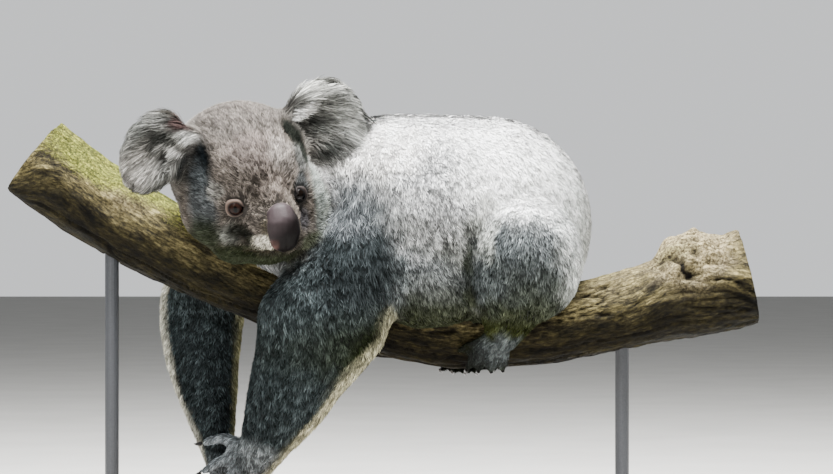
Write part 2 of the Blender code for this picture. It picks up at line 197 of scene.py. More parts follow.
def colour_stops(node: bpy.types.Node, *stops: tuple[float, str]) -> bpy.types.NodeSocket:
    """Sets a colour ramp's stops.

    Args:
        node: the colour ramp.
        stops: for each stop, its place and its hex colour.

    Returns:
        The ramp's colour output.
    """
    elements = node.color_ramp.elements
    while len(elements) > 1:
        elements.remove(elements[-1])
    for n, (place, colour) in enumerate(stops):
        element = elements[0] if n == 0 else elements.new(place)
        element.position = place
        element.color = linear(colour)
    return node.outputs["Color"]


def blank_material(name: str) -> tuple[bpy.types.Material, bpy.types.NodeTree, bpy.types.Node]:
    """A new material with only its output.

    Args:
        name: the material's name.

    Returns:
        The material, its node tree, and its output node.
    """
    made = bpy.data.materials.new(name)
    made.use_nodes = True
    made.node_tree.nodes.clear()
    return made, made.node_tree, add_node(made.node_tree, "OutputMaterial")


def mesh_object(name: str, vertices: np.ndarray, faces: np.ndarray) -> bpy.types.Object:
    """A mesh object from arrays, all its faces of one size.

    Args:
        name: the object's name.
        vertices: one point a row.
        faces: one face a row, as numbers of vertices.

    Returns:
        The object, linked to the scene.
    """
    mesh = bpy.data.meshes.new(name)
    count, corners = faces.shape
    mesh.vertices.add(len(vertices))
    mesh.vertices.foreach_set("co", vertices.astype(np.float32).ravel())
    mesh.loops.add(count * corners)
    mesh.loops.foreach_set("vertex_index", faces.astype(np.int32).ravel())
    mesh.polygons.add(count)
    mesh.polygons.foreach_set("loop_start", np.arange(0, count * corners, corners, dtype=np.int32))
    mesh.update(calc_edges=True)
    mesh.polygons.foreach_set("use_smooth", np.ones(count, bool))
    made = bpy.data.objects.new(name, mesh)
    bpy.context.scene.collection.objects.link(made)
    return made


def put_vertices(obj: bpy.types.Object, points: np.ndarray) -> None:
    """Puts an object's vertices in new places."""
    obj.data.vertices.foreach_set("co", points.astype(np.float32).ravel())
    obj.data.update()


def paint(obj: bpy.types.Object, name: str, values: np.ndarray) -> None:
    """Writes a value for each vertex: a colour for three columns, a number for one.

    Args:
        obj: the object.
        name: the name of the attribute.
        values: one row or number a vertex.
    """
    if values.ndim == 1:
        layer = obj.data.attributes.new(name, "FLOAT", "POINT")
        layer.data.foreach_set("value", values.astype(np.float32))
        return
    layer = obj.data.attributes.new(name, "FLOAT_COLOR", "POINT")
    rgba = np.ones((len(values), 4), np.float32)
    rgba[:, :3] = values
    layer.data.foreach_set("color", rgba.ravel())


def vertices_of(obj: bpy.types.Object) -> np.ndarray:
    """An object's vertices as an array.

    Args:
        obj: the object.

    Returns:
        Their places, one a row.
    """
    out = np.zeros(len(obj.data.vertices) * 3, np.float32)
    obj.data.vertices.foreach_get("co", out)
    return out.reshape(-1, 3).astype(float)


def settled(obj: bpy.types.Object) -> bpy.types.Object:
    """Applies an object's modifiers.

    Args:
        obj: the object.

    Returns:
        The object.
    """
    bpy.context.view_layer.update()
    evaluated = obj.evaluated_get(bpy.context.evaluated_depsgraph_get())
    mesh = bpy.data.meshes.new_from_object(evaluated)
    obj.modifiers.clear()
    old, obj.data = obj.data, mesh
    bpy.data.meshes.remove(old)
    return obj


def moulded(name: str, nodes: list[str], grow_mm: float, voxel_mm: float, smoothing: int) -> bpy.types.Object:
    """One smooth closed form from the solids of some nodes.

    Args:
        name: the new object's name.
        nodes: the solids to take, which join where they meet.
        grow_mm: how much each is first swollen, to close the thin cuts between them.
        voxel_mm: the size of the new faces.
        smoothing: rounds of smoothing.

    Returns:
        The new object, in the solids' place.
    """
    bm = bmesh.new()
    for node in nodes:
        part = bmesh.new()
        part.from_mesh(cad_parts[node].data)
        bmesh.ops.remove_doubles(part, verts=part.verts, dist=0.02 * MM)
        part.normal_update()
        for v, n in [(v, v.normal.copy()) for v in part.verts]:
            v.co += n * grow_mm * MM
        copy = bpy.data.meshes.new("copy")
        part.to_mesh(copy)
        part.free()
        bm.from_mesh(copy)
        bpy.data.meshes.remove(copy)
    mesh = bpy.data.meshes.new(name)
    bm.to_mesh(mesh)
    bm.free()
    obj = bpy.data.objects.new(name, mesh)
    bpy.context.scene.collection.objects.link(obj)
    remesh = obj.modifiers.new("remesh", "REMESH")
    remesh.mode = "VOXEL"
    remesh.voxel_size = voxel_mm * MM
    soften = obj.modifiers.new("soften", "SMOOTH")
    soften.iterations = smoothing
    settled(obj)
    obj.data.polygons.foreach_set("use_smooth", np.ones(len(obj.data.polygons), bool))
    return obj


def finished(
    obj: bpy.types.Object, slot: Slot, material: bpy.types.Material, *nodes: str
) -> bpy.types.Object:
    """Gives a piece its material and its body, and hides the solids that it stands for.

    Args:
        obj: the piece.
        slot: its material slot in the record; not used.
        material: its material.
        nodes: the solids that it stands for.

    Returns:
        The piece.
    """
    obj.data.materials.clear()
    obj.data.materials.append(material)
    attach(obj, BODY)
    if nodes:
        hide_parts(*nodes)
    log.info("%s: %d faces", obj.name, len(obj.data.polygons))
    return obj


# ---------------------------------------------------------------- places on the koala


@dataclass
class LocalFrame:
    """A set of axes of its own, such as a head's forward, left and up."""

    origin: np.ndarray
    axes: np.ndarray

    def local_mm(self, points: np.ndarray) -> np.ndarray:
        """Points of the row frame in these axes, in millimetres."""
        return (points - self.origin) @ self.axes.T / MM

    def world(self, local_mm: np.ndarray) -> np.ndarray:
        """Points in these axes, in millimetres, in the row frame."""
        return np.asarray(local_mm, float) * MM @ self.axes + self.origin


def middle(node: str) -> np.ndarray:
    """The middle of a node's box."""
    low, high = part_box(node)
    return np.array((low + high) / 2)


def radius(node: str) -> float:
    """Half the mean side of a node's box."""
    low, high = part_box(node)
    return sum(high - low) / 6


@dataclass
class Anatomy:
    """Where the koala's landmarks are, all read from the solids."""

    nose_drop: float = math.radians(38.0)
    head: LocalFrame = field(init=False)
    ears: dict[str, LocalFrame] = field(init=False)

    def __post_init__(self) -> None:
        """Finds the head's and the ears' axes."""
        left_eye, right_eye = middle("eye_left"), middle("eye_right")
        between = (left_eye + right_eye) / 2
        left = unit(left_eye - right_eye)
        down_nose = middle("nose") - between
        down_nose = unit(down_nose - left * (down_nose @ left))
        up = np.cross(down_nose, left)
        forward = down_nose * math.cos(self.nose_drop) + up * math.sin(self.nose_drop)
        self.head = LocalFrame(between, np.array([forward, left, np.cross(forward, left)]))
        self.ears = {side: self.ear_frame(f"ear_{side}") for side in SIDES}

    def ear_frame(self, node: str) -> LocalFrame:
        """An ear's axes: out of its open face, outward from the head, and up.

        Args:
            node: the ear's node.

        Returns:
            Its axes, about its middle.
        """
        points = vertices_of(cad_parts[node])
        centre = points.mean(0)
        _, _, rows = np.linalg.svd(points - centre, full_matrices=False)
        face = rows[2] * np.sign(rows[2] @ self.head.axes[0])
        outward = centre - self.head.world((-40, 0, 20))
        outward = unit(outward - face * (outward @ face))
        up = np.cross(face, outward)
        return LocalFrame(centre, np.array([face, outward, up * np.sign(up @ self.head.axes[2])]))


# ---------------------------------------------------------------- the coat's zones


@dataclass(frozen=True)
class Zone:
    """How the coat grows on one part of the body.

    Depth, length and width are millimetres, density is locks to the square millimetre, and contrast is how
    much the locks differ in tone. Loose is how much they wander from the lie of the coat.
    """

    depth: float
    length: float
    width: float
    density: float
    colour: str
    contrast: float = 0.3
    loose: float = 0.14


ZONES: dict[str, Zone] = {
    "head": Zone(2.4, 5.0, 0.75, 1.60, "#443f3a", 0.30, 0.26),
    "neck": Zone(3.0, 9.0, 1.0, 0.60, "#7d7f80", 0.34),
    "ear": Zone(5.5, 19.0, 0.55, 1.70, "#4c4c49", 0.5, 0.10),
    "trunk": Zone(2.6, 5.8, 0.95, 0.74, "#a0a1a1", 0.34, 0.22),
    # the arms are painted darker than the body's grey, as painted shade: they lie in shade below the body
    "upper_arm": Zone(2.8, 5.8, 0.90, 0.74, "#323839", 0.40, 0.26),
    "forearm": Zone(2.8, 5.6, 0.90, 0.76, "#24292a", 0.40, 0.28),
    "hand": Zone(1.6, 5.0, 0.8, 1.0, "#62676a", 0.30),
    "thigh": Zone(2.8, 5.8, 0.95, 0.74, "#65696a", 0.36, 0.26),
    "shank": Zone(2.6, 6.5, 0.9, 0.80, "#35392e", 0.30),
    "foot": Zone(1.4, 4.0, 0.8, 0.9, "#2c302e", 0.30),
    "nose": Zone(2.0, 2.6, 0.65, 1.4, "#3d3934", 0.3),
    "eye": Zone(2.0, 2.8, 0.65, 1.4, "#3d3833", 0.3),
}


def kind_of(node: str) -> str:
    """A node's zone: its name without its side."""
    return node.replace("_left", "").replace("_right", "")


class Axes(Enum):
    """Which axes a patch of colour is placed in."""

    FLOOR = "floor"
    HEAD = "head"
    EAR_LEFT = "ear_left"
    EAR_RIGHT = "ear_right"


@dataclass(frozen=True)
class Patch:
    """A soft-edged patch of colour: its middle and its reach along its axes, in millimetres."""

    centre: tuple[float, float, float]
    radii: tuple[float, float, float]
    colour: str
    strength: float = 1.0
    axes: Axes = Axes.FLOOR

    def amount(self, places_mm: np.ndarray) -> np.ndarray:
        """How strongly the patch covers each place."""
        d = np.linalg.norm((places_mm - np.array(self.centre)) / np.array(self.radii), axis=1)
        return self.strength * ramp(d, 1.25, 0.55)


@dataclass(frozen=True)
class Side:
    """A colour on the side of a limb that faces a given way, such as a pale underside, painted shade on the
    sides that face down, and painted light along a rim.
    """

    nodes: tuple[str, ...]
    way: tuple[float, float, float]
    turned: tuple[float, float]
    colour: str
    strength: float = 1.0


PATCHES = (
    # back and rump: painted light on their upper and rear sides, and mottled behind
    Patch((60, 0, 470), (210, 105, 62), "#f0f0ee", 0.9),
    Patch((10, -60, 425), (60, 60, 40), "#cdcac4", 0.6),
    Patch((165, -40, 405), (80, 95, 75), "#f0f1ee", 0.85),
    Patch((225, -60, 330), (45, 75, 100), "#d8dcd8", 0.85),
    Patch((148, -112, 292), (52, 44, 60), "#3b4041", 0.8),
    # flank, belly and underside: painted shade that deepens downwards, olive below as painted reflected green
    # light, and painted light on top of the thigh
    Patch((62, -95, 286), (84, 50, 42), "#3a3f40", 0.8),
    Patch((-8, -100, 318), (50, 60, 58), "#191c1d", 0.85),
    Patch((-14, -90, 372), (46, 70, 38), "#46494b", 0.7),
    Patch((60, -10, 232), (170, 160, 46), "#14170a", 1.0),
    Patch((150, -80, 246), (62, 66, 24), "#212411", 0.9),
    Patch((150, -100, 388), (60, 60, 30), "#f0f1ee", 0.75),
    # painted shade in the fold between flank and thigh, and painted light on the front edge of the thigh
    Patch((122, -112, 350), (15, 30, 34), "#b4b7ad", 0.35),
    Patch((110, -92, 305), (7, 30, 50), "#1d2021", 0.85),
    # wrists and feet
    Patch((140, -90, 220), (36, 80, 24), "#434849", 0.9),
    Patch((112, -40, 214), (20, 30, 24), "#181a19", 0.8),
    Patch((-100, -30, 125), (26, 30, 30), "#666b6d", 0.8),
)


# On the head, places are forward, left and up from the point between the eyes.
HEAD_PATCHES = tuple(replace(p, axes=Axes.HEAD) for p in (
    # the back of the head, crown, brow and bridge
    Patch((-95, 0, 15), (56, 90, 90), "#605f5d", 0.9),
    Patch((-35, 0, 78), (60, 62, 36), "#34312e", 0.95),
    Patch((6, -6, 50), (28, 36, 24), "#383330", 0.85),
    Patch((-4, 44, 36), (16, 14, 20), "#363837", 0.8),
    Patch((6, 20, 40), (20, 17, 22), "#4f4b47", 0.8),
    Patch((12, 2, 16), (30, 26, 18), "#322d29", 0.75),
    Patch((13, -13, 3), (8, 9, 9), "#211e1a", 0.6),
    # dark temple and cheek, partly dark fur at the ear's base and partly painted shade, and the paler tuft
    # over the right eye
    Patch((-28, -56, 46), (28, 17, 32), "#040506", 1.0),
    Patch((-18, -58, 6), (24, 13, 40), "#2e3132", 0.9),
    Patch((-9, -46, 17), (10, 9, 9), "#555450", 0.7),
    Patch((-20, -58, -27), (26, 16, 22), "#1c1f18", 0.9),
    Patch((-6, -36, -26), (11, 14, 16), "#4a4c48", 0.75),
    # jaw and chin, dark olive: painted shade under the head, with painted reflected green light
    Patch((-12, -8, -66), (60, 64, 24), "#13150b", 1.0),
    Patch((-10, -36, -50), (34, 34, 17), "#11140a", 0.95),
    # the shaded hollow beside the left ear
    Patch((-21, 46, 58), (26, 15, 19), "#0b0c0a", 1.0),
    Patch((-20, 52, 36), (18, 8, 14), "#0c0e0c", 0.95),
    # painted shade round the left eye, which lies on the shaded side of the face, and the pale fringe of the
    # left cheek, pale fur with painted rim light
    Patch((2, 38, 10), (13, 10, 14), "#272a2b", 0.85),
    Patch((3, 33, -22), (12, 9, 14), "#2d2c2e", 0.9),
    Patch((-10, 60, -14), (22, 12, 48), "#5f6460", 0.9),
    Patch((-3, 42, -46), (14, 14, 9), "#464b3c", 0.8),
    # the dark mark under the right eye, partly a darker marking and partly painted shade, and the cream
    # muzzle
    Patch((3, -33, -22), (16, 14, 11), "#12120f", 0.95),
    Patch((6, -24, -29), (14, 9, 9), "#10100e", 0.9),
    Patch((24, -10, -20), (14, 9, 12), "#4f493d", 0.8),
    Patch((17, -13, -35), (15, 13, 9), "#d2ccbc", 1.0),
))

# On the ears, places are out of the open face, outward from the head, and up.
EAR_PATCHES = tuple(replace(p, axes=axes) for axes, patches in (
    (Axes.EAR_LEFT, (
        Patch((0, 22, 26), (40, 30, 22), "#6e6e6a", 0.8),
        Patch((0, 30, -18), (40, 20, 30), "#797a76", 0.85),
        Patch((4, -13, 32), (18, 13, 12), "#191816", 0.95),
        # painted shade deep in the left ear's hollow
        Patch((4, -25, 8), (20, 14, 19), "#0a0a09", 1.0),
        Patch((6, -4, 17), (16, 14, 6), "#e5e4df", 1.0),
        Patch((4, -2, -4), (16, 14, 10), "#3f413e", 0.7),
        Patch((2, -8, -25), (16, 16, 10), "#1a1c1a", 0.9),
    )),
    (Axes.EAR_RIGHT, (
        Patch((0, 30, -20), (40, 26, 30), "#84817c", 0.9),
        Patch((0, 36, 14), (40, 14, 26), "#4e4f4c", 0.8),
        Patch((0, -6, 42), (40, 30, 10), "#272521", 0.9),
        # painted shade deep at the base of the right ear's hollow
        Patch((6, -26, 4), (18, 12, 13), "#0c0d0c", 1.0),
        Patch((4, -24, -10), (20, 12, 14), "#161818", 0.95),
        Patch((6, -8, 29), (16, 14, 8), "#271b1a", 0.9),
        Patch((6, 9, 8), (16, 13, 12), "#262725", 0.8),
        Patch((6, -18, 19), (14, 14, 5.5), "#8a8a86", 0.95),
        Patch((6, -2, 2), (14, 14, 6), "#aeada9", 0.9),
    )),
) for p in patches)

SIDES_OF_LIMBS = (
    Side(("upper_arm_left", "forearm_left"), (0.80, 0.10, -0.58), (0.52, 0.9), "#96937a", 0.95),
    Side(("upper_arm_right", "forearm_right"), (0.95, 0.10, -0.2), (0.62, 0.88), "#6d6b50", 0.9),
    # painted light along the outer edge of the right arm
    Side(("upper_arm_right", "forearm_right"), (-0.98, -0.15, 0.1), (0.78, 0.96), "#b9b7a8", 0.9),
    # painted shade on the sides of the trunk, the thighs and the head that face down
    Side(("trunk", "thigh_left", "thigh_right"), (0.0, -0.25, -1.0), (0.0, 0.8), "#25281d", 0.9),
    Side(("head",), (0.0, 0.0, -1.0), (0.35, 0.8), "#20231a", 0.8),
)


@dataclass(frozen=True)
class Mouth:
    """The mouth line in the head's axes: an arc that rises to both corners, in millimetres."""

    lowest: float = -46.8
    rise: float = 0.0065
    half_width: float = 34.0

    def amount(self, head_mm: np.ndarray, reach_mm: float) -> np.ndarray:
        """How near each place is to the line, from 0 to 1.

        Args:
            head_mm: places in the head's axes.
            reach_mm: how far from the line it fades to 0.

        Returns:
            One number a place.
        """
        line = self.lowest + self.rise * head_mm[:, 1] ** 2
        near = ramp(np.abs(head_mm[:, 2] - line), reach_mm, 0.2 * reach_mm)
        within = ramp(np.abs(head_mm[:, 1]), self.half_width, self.half_width - 8)
        return near * within * ramp(head_mm[:, 0], -12, -2)


def paleness(colours: np.ndarray) -> np.ndarray:
    """How pale each colour is, from 0 for dark fur to 1 for white, which gets less painted shade at its
    roots.
    """
    return ramp(colours.mean(1), 0.2, 0.7)


@dataclass
class Markings:
    """The colours that skin and coat share: the koala's markings, with painted light and painted shade among
    them.
    """

    anatomy: Anatomy
    mouth: Mouth = Mouth()
    # painted shade in the crease of the mouth
    mouth_crease_shade: str = "#26221b"
    mouth_strength: float = 0.8
    rag_mm: float = 13.0
    head_rag_mm: float = 4.0

    def colour(
        self, points: np.ndarray, normals: np.ndarray, weights: np.ndarray, own: np.ndarray, nodes: list[str]
    ) -> np.ndarray:
        """The coat's colour at each point.

        Args:
            points: places in the row frame.
            normals: the skin's outward normals there.
            weights: how much each point takes of each body node's base colour.
            own: how much each point belongs to each body node, with narrower borders.
            nodes: the nodes' names, one for each column of weights.

        Returns:
            Linear RGB, one row a point.
        """
        true_mouth = self.mouth.amount(self.anatomy.head.local_mm(points), 2.2)
        weights, own = self.ragged(points, weights), self.ragged(points, own)
        off_head = 1 - own[:, [kind_of(n) in (*HEAD_KINDS, "ear") for n in nodes]].sum(1)
        shift = np.stack([clouds(points, 11, seed) for seed in (31, 32, 33)], axis=1) - 0.5
        rag = self.head_rag_mm + (self.rag_mm - self.head_rag_mm) * off_head
        points = points + shift * rag[:, None] * MM
        out = weights @ np.array([rgb(ZONES[kind_of(n)].colour) for n in nodes])
        places = {Axes.FLOOR: points / MM, Axes.HEAD: self.anatomy.head.local_mm(points)}
        belongs = {Axes.HEAD: own[:, [kind_of(n) in HEAD_KINDS for n in nodes]].sum(1)}
        for side, axes in zip(SIDES, (Axes.EAR_LEFT, Axes.EAR_RIGHT)):
            places[axes] = self.anatomy.ears[side].local_mm(points)
            belongs[axes] = own[:, nodes.index(f"ear_{side}")]
        belongs[Axes.FLOOR] = 1 - belongs[Axes.HEAD] - belongs[Axes.EAR_LEFT] - belongs[Axes.EAR_RIGHT]
        for patch in PATCHES + HEAD_PATCHES + EAR_PATCHES:
            out = tinted(out, patch.colour, patch.amount(places[patch.axes]) * belongs[patch.axes])
        for side in SIDES_OF_LIMBS:
            turned = ramp(normals @ unit(np.array(side.way)), *side.turned)
            on_limb = own[:, [n in side.nodes for n in nodes]].sum(1)
            out = tinted(out, side.colour, side.strength * turned * on_limb)
        # The mouth line is painted dark, as painted shade in its crease.
        return tinted(out, self.mouth_crease_shade, self.mouth_strength * true_mouth * belongs[Axes.HEAD])

    @staticmethod
    def ragged(points: np.ndarray, weights: np.ndarray) -> np.ndarray:
        """Breaks the borders between parts of the body into tufts, so that no straight seam shows.

        Args:
            points: the places.
            weights: how much of each belongs to each part, one column a part.

        Returns:
            The weights, broken up near the borders.
        """
        out = weights.copy()
        mixed = weights.max(1) < 0.97
        for n in range(weights.shape[1]):
            out[mixed, n] *= np.exp(1.6 * (clouds(points[mixed], 7, 50 + n) - 0.5))
        return out / out.sum(1, keepdims=True)


# ---------------------------------------------------------------- finishes


@dataclass(frozen=True)
class FurFinish:
    """Koala fur: dense underwool under fine guard hairs, both matt, so the eye sees soft, speckled plush."""

    roughness: float = 0.85
    fleck_mm: float = 1.1

    def material(self, name: str) -> bpy.types.Material:
        """Builds the material, which reads its colour from the painted markings.

        Args:
            name: the material's name.

        Returns:
            The material.
        """
        made, tree, output = blank_material(name)
        colour = add_node(tree, "Attribute", attribute_name=MARKINGS).outputs["Color"]
        place = add_node(tree, "TexCoord").outputs["Object"]
        fleck = add_node(tree, "TexNoise", {
            "Vector": place, "Scale": per_metre(self.fleck_mm), "Detail": 2.0,
        }).outputs["Fac"]
        shade = add_node(tree, "MapRange", {
            "Value": fleck, "From Min": 0.3, "From Max": 0.7, "To Min": 0.82, "To Max": 1.15,
        }).outputs["Result"]
        mixed = add_node(tree, "VectorMath", {0: colour, 1: shade}, operation="MULTIPLY").outputs["Vector"]
        shader = add_node(tree, "BsdfPrincipled", {
            "Base Color": mixed, "Roughness": self.roughness, "Specular IOR Level": 0.0,
        })
        tree.links.new(shader.outputs["BSDF"], output.inputs["Surface"])
        return made


@dataclass(frozen=True)
class HideFinish:
    """Skin under the coat, bare on lids, toes and palms: fine creases that break up a faint grease shine."""

    crease_mm: float = 1.6
    pore_mm: float = 0.7
    deep_mm: float = 0.3
    roughness: float = 0.62

    def material(self, name: str) -> bpy.types.Material:
        """Builds the material, which reads its colour from the painted markings.

        Args:
            name: the material's name.

        Returns:
            The material.
        """
        made, tree, output = blank_material(name)
        colour = add_node(tree, "Attribute", attribute_name=MARKINGS).outputs["Color"]
        place = add_node(tree, "TexCoord").outputs["Object"]
        pores = add_node(tree, "TexNoise", {
            "Vector": place, "Scale": per_metre(self.pore_mm), "Detail": 3.0,
        }).outputs["Fac"]
        crease = add_node(tree, "TexVoronoi", {
            "Vector": place, "Scale": per_metre(self.crease_mm),
        }, feature="DISTANCE_TO_EDGE").outputs["Distance"]
        height = add_node(tree, "Math", {0: crease, 1: pores}, operation="ADD").outputs["Value"]
        bump = add_node(tree, "Bump", {"Height": height, "Strength": 0.5, "Distance": self.deep_mm * MM})
        shade = add_node(tree, "MapRange", {"Value": pores, "To Min": 0.75, "To Max": 1.25}).outputs["Result"]
        mixed = add_node(tree, "VectorMath", {0: colour, 1: shade}, operation="MULTIPLY").outputs["Vector"]
        shader = add_node(tree, "BsdfPrincipled", {
            "Base Color": mixed, "Roughness": self.roughness, "Specular IOR Level": 0.08,
            "Normal": bump.outputs["Normal"],
        })
        tree.links.new(shader.outputs["BSDF"], output.inputs["Surface"])
        return made


@dataclass(frozen=True)
class NoseFinish:
    """Nose leather: pebbled, hairless skin with a dull moist sheen."""

    pebble_mm: float = 0.9
    stain_mm: float = 4.0
    deep_mm: float = 0.25
    roughness: float = 0.5

    def material(self, name: str) -> bpy.types.Material:
        """Builds the material, which reads its colour from the painted markings.

        Args:
            name: the material's name.

        Returns:
            The material.
        """
        made, tree, output = blank_material(name)
        colour = add_node(tree, "Attribute", attribute_name=MARKINGS).outputs["Color"]
        place = add_node(tree, "TexCoord").outputs["Object"]
        pebble = add_node(tree, "TexVoronoi", {
            "Vector": place, "Scale": per_metre(self.pebble_mm),
        }, feature="SMOOTH_F1").outputs["Distance"]
        stain = add_node(tree, "TexNoise", {
            "Vector": place, "Scale": per_metre(self.stain_mm), "Detail": 3.0,
        }).outputs["Fac"]
        bump = add_node(tree, "Bump", {
            "Height": pebble, "Strength": 0.45, "Distance": self.deep_mm * MM,
        }, invert=True)
        shade = add_node(tree, "MapRange", {"Value": stain, "To Min": 0.75, "To Max": 1.25}).outputs["Result"]
        mixed = add_node(tree, "VectorMath", {0: colour, 1: shade}, operation="MULTIPLY").outputs["Vector"]
        shader = add_node(tree, "BsdfPrincipled", {
            "Base Color": mixed, "Roughness": self.roughness, "Specular IOR Level": 0.06,
            "Normal": bump.outputs["Normal"],
        })
        tree.links.new(shader.outputs["BSDF"], output.inputs["Surface"])
        return made


@dataclass(frozen=True)
class EyeFinish:
    """Glass eye: a brown iris with a dark upright pupil under a clear polished front."""

    iris: tuple[str, ...] = ("#080403", "#160c09", "#120907", "#080403", "#030202", "#050303")
    rings: tuple[float, ...] = (0.0, 0.3, 0.5, 0.64, 0.75, 0.9)
    pupil: str = "#010101"
    fibre_mm: float = 0.8

    def material(self, name: str) -> bpy.types.Material:
        """Builds the material, which reads how far each place is from the pupil and from the gaze.

        Args:
            name: the material's name.

        Returns:
            The material.
        """
        made, tree, output = blank_material(name)
        off_axis = add_node(tree, "Attribute", attribute_name="off_axis").outputs["Fac"]
        pupil = add_node(tree, "Attribute", attribute_name="pupil").outputs["Fac"]
        place = add_node(tree, "TexCoord").outputs["Object"]
        fibres = add_node(tree, "TexNoise", {
            "Vector": place, "Scale": per_metre(self.fibre_mm), "Detail": 3.0,
        }).outputs["Fac"]
        jitter = add_node(tree, "MapRange", {
            "Value": fibres, "To Min": -0.05, "To Max": 0.05,
        }).outputs["Result"]
        spot = add_node(tree, "Math", {0: off_axis, 1: jitter}, operation="ADD").outputs["Value"]
        iris = colour_stops(add_node(tree, "ValToRGB", {"Fac": spot}), *zip(self.rings, self.iris))
        beyond = add_node(tree, "MapRange", {
            "Value": pupil, "From Min": 0.85, "From Max": 1.1,
        }).outputs["Result"]
        mixed = add_node(tree, "Mix", {
            "Factor": beyond, "A": linear(self.pupil), "B": iris,
        }, data_type="RGBA").outputs[2]
        shader = add_node(tree, "BsdfPrincipled", {
            "Base Color": mixed, "Roughness": 0.4, "Specular IOR Level": 0.0, "Coat Weight": 0.22,
            "Coat Roughness": 0.05, "Coat IOR": 1.4,
        })
        tree.links.new(shader.outputs["BSDF"], output.inputs["Surface"])
        return made


@dataclass(frozen=True)
class ClawFinish:
    """Claw horn: dark keratin in fine lengthwise layers, worn paler and smoother at the point."""

    layer_mm: float = 1.2
    deep_mm: float = 0.2
    roughness: float = 0.42

    def material(self, name: str) -> bpy.types.Material:
        """Builds the material, which reads how near each place is to the point.

        Args:
            name: the material's name.

        Returns:
            The material.
        """
        made, tree, output = blank_material(name)
        point = add_node(tree, "Attribute", attribute_name="point").outputs["Fac"]
        place = add_node(tree, "TexCoord").outputs["Object"]
        layers = add_node(tree, "TexNoise", {
            "Vector": place, "Scale": per_metre(self.layer_mm), "Detail": 4.0,
        }).outputs["Fac"]
        spot = add_node(tree, "Math", {0: point, 1: layers}, operation="MULTIPLY").outputs["Value"]
        colour = colour_stops(
            add_node(tree, "ValToRGB", {"Fac": spot}), (0.1, "#0d0b0a"), (0.4, "#171412"), (0.7, "#2e2822")
        )
        bump = add_node(tree, "Bump", {"Height": layers, "Strength": 0.3, "Distance": self.deep_mm * MM})
        shader = add_node(tree, "BsdfPrincipled", {
            "Base Color": colour, "Roughness": self.roughness, "Specular IOR Level": 0.3,
            "Normal": bump.outputs["Normal"],
        })
        tree.links.new(shader.outputs["BSDF"], output.inputs["Surface"])
        return made


@dataclass(frozen=True)
class BarkFinish:
    """Weathered hardwood bark: dry grey-brown fibres and fissures along the limb, with algae and moss."""

    fibre_mm: float = 2.2
    plate_mm: float = 12.0
    scale_mm: float = 4.2
    speck_mm: float = 2.5
    deep_mm: float = 1.2
    roughness: float = 0.9
    warp: float = 0.005

    def material(self, name: str) -> bpy.types.Material:
        """Builds the material, which reads places along and around the limb, its moss, its pale lichen with
        painted light on the upper side, and painted shade in the cracks, which fade out at the cut ends, and
        underneath.

        Args:
            name: the material's name.

        Returns:
            The material.
        """
        made, tree, output = blank_material(name)
        grain = add_node(tree, "Attribute", attribute_name="grain").outputs["Vector"]
        moss, pale, crack, damp = (
            add_node(tree, "Attribute", attribute_name=layer).outputs["Fac"]
            for layer in ("moss", "pale", "crack", "damp")
        )
        fibre = add_node(tree, "TexNoise", {
            "Vector": grain, "Scale": per_metre(self.fibre_mm), "Detail": 6.0, "Roughness": 0.65,
        }).outputs["Fac"]
        plates = add_node(tree, "TexNoise", {
            "Vector": grain, "Scale": per_metre(self.plate_mm), "Detail": 5.0, "Roughness": 0.6,
        }).outputs["Fac"]
        speckle = add_node(tree, "TexNoise", {
            "Vector": add_node(tree, "TexCoord").outputs["Object"], "Scale": per_metre(self.speck_mm),
            "Detail": 4.0, "Roughness": 0.7,
        })
        specks = speckle.outputs["Fac"]
        tone = add_node(tree, "Math", {0: fibre, 1: plates}, operation="MULTIPLY").outputs["Value"]
        wood = colour_stops(
            add_node(tree, "ValToRGB", {"Fac": tone}),
            (0.13, "#0e0b06"), (0.2, "#2a2618"), (0.27, "#4a432a"), (0.34, "#655c3d"), (0.45, "#8f845e"),
        )
        lichen_and_light = colour_stops(
            add_node(tree, "ValToRGB", {"Fac": specks}),
            (0.34, "#1d180f"), (0.45, "#564c37"), (0.6, "#8f8467"),
        )
        green = colour_stops(
            add_node(tree, "ValToRGB", {"Fac": specks}),
            (0.3, "#1c1f07"), (0.45, "#393d15"), (0.58, "#5b5c25"), (0.7, "#83803b"),
        )
        growth = add_node(tree, "Math", {0: moss, 1: specks}, operation="MULTIPLY").outputs["Value"]
        cover = add_node(tree, "MapRange", {
            "Value": growth, "From Min": 0.18, "From Max": 0.42,
        }).outputs["Result"]
        colour = wood
        # Over the wood go pale lichen with painted light on the upper side, moss, painted shade in the cracks
        # and painted shade underneath.
        for factor, over, blend in (
            (pale, lichen_and_light, "MIX"), (cover, green, "MIX"),
            (crack, linear("#080604"), "MIX"), (damp, linear("#42402b"), "MULTIPLY"),
        ):
            colour = add_node(tree, "Mix", {
                "Factor": factor, "A": colour, "B": over,
            }, data_type="RGBA", blend_type=blend).outputs[2]
        warped = add_node(tree, "VectorMath", {
            0: speckle.outputs["Color"], 1: (self.warp,) * 3, 2: grain,
        }, operation="MULTIPLY_ADD").outputs["Vector"]
        scales = add_node(tree, "TexVoronoi", {
            "Vector": warped, "Scale": per_metre(self.scale_mm),
        }, feature="DISTANCE_TO_EDGE").outputs["Distance"]
        # The gaps between the bark's scales are painted darker, as painted shade in them.
        gap = add_node(tree, "MapRange", {
            "Value": scales, "From Max": 0.12, "To Min": 0.5, "To Max": 1.0,
        }).outputs["Result"]
        scaly = add_node(tree, "VectorMath", {0: colour, 1: gap}, operation="MULTIPLY").outputs["Vector"]
        coarse = add_node(tree, "Math", {0: fibre, 1: specks}, operation="ADD").outputs["Value"]
        rough = add_node(tree, "Math", {0: coarse, 1: gap}, operation="ADD").outputs["Value"]
        bump = add_node(tree, "Bump", {"Height": rough, "Strength": 0.9, "Distance": self.deep_mm * MM})
        shader = add_node(tree, "BsdfPrincipled", {
            "Base Color": scaly, "Roughness": self.roughness, "Specular IOR Level": 0.1,
            "Normal": bump.outputs["Normal"],
        })
        tree.links.new(shader.outputs["BSDF"], output.inputs["Surface"])
        return made


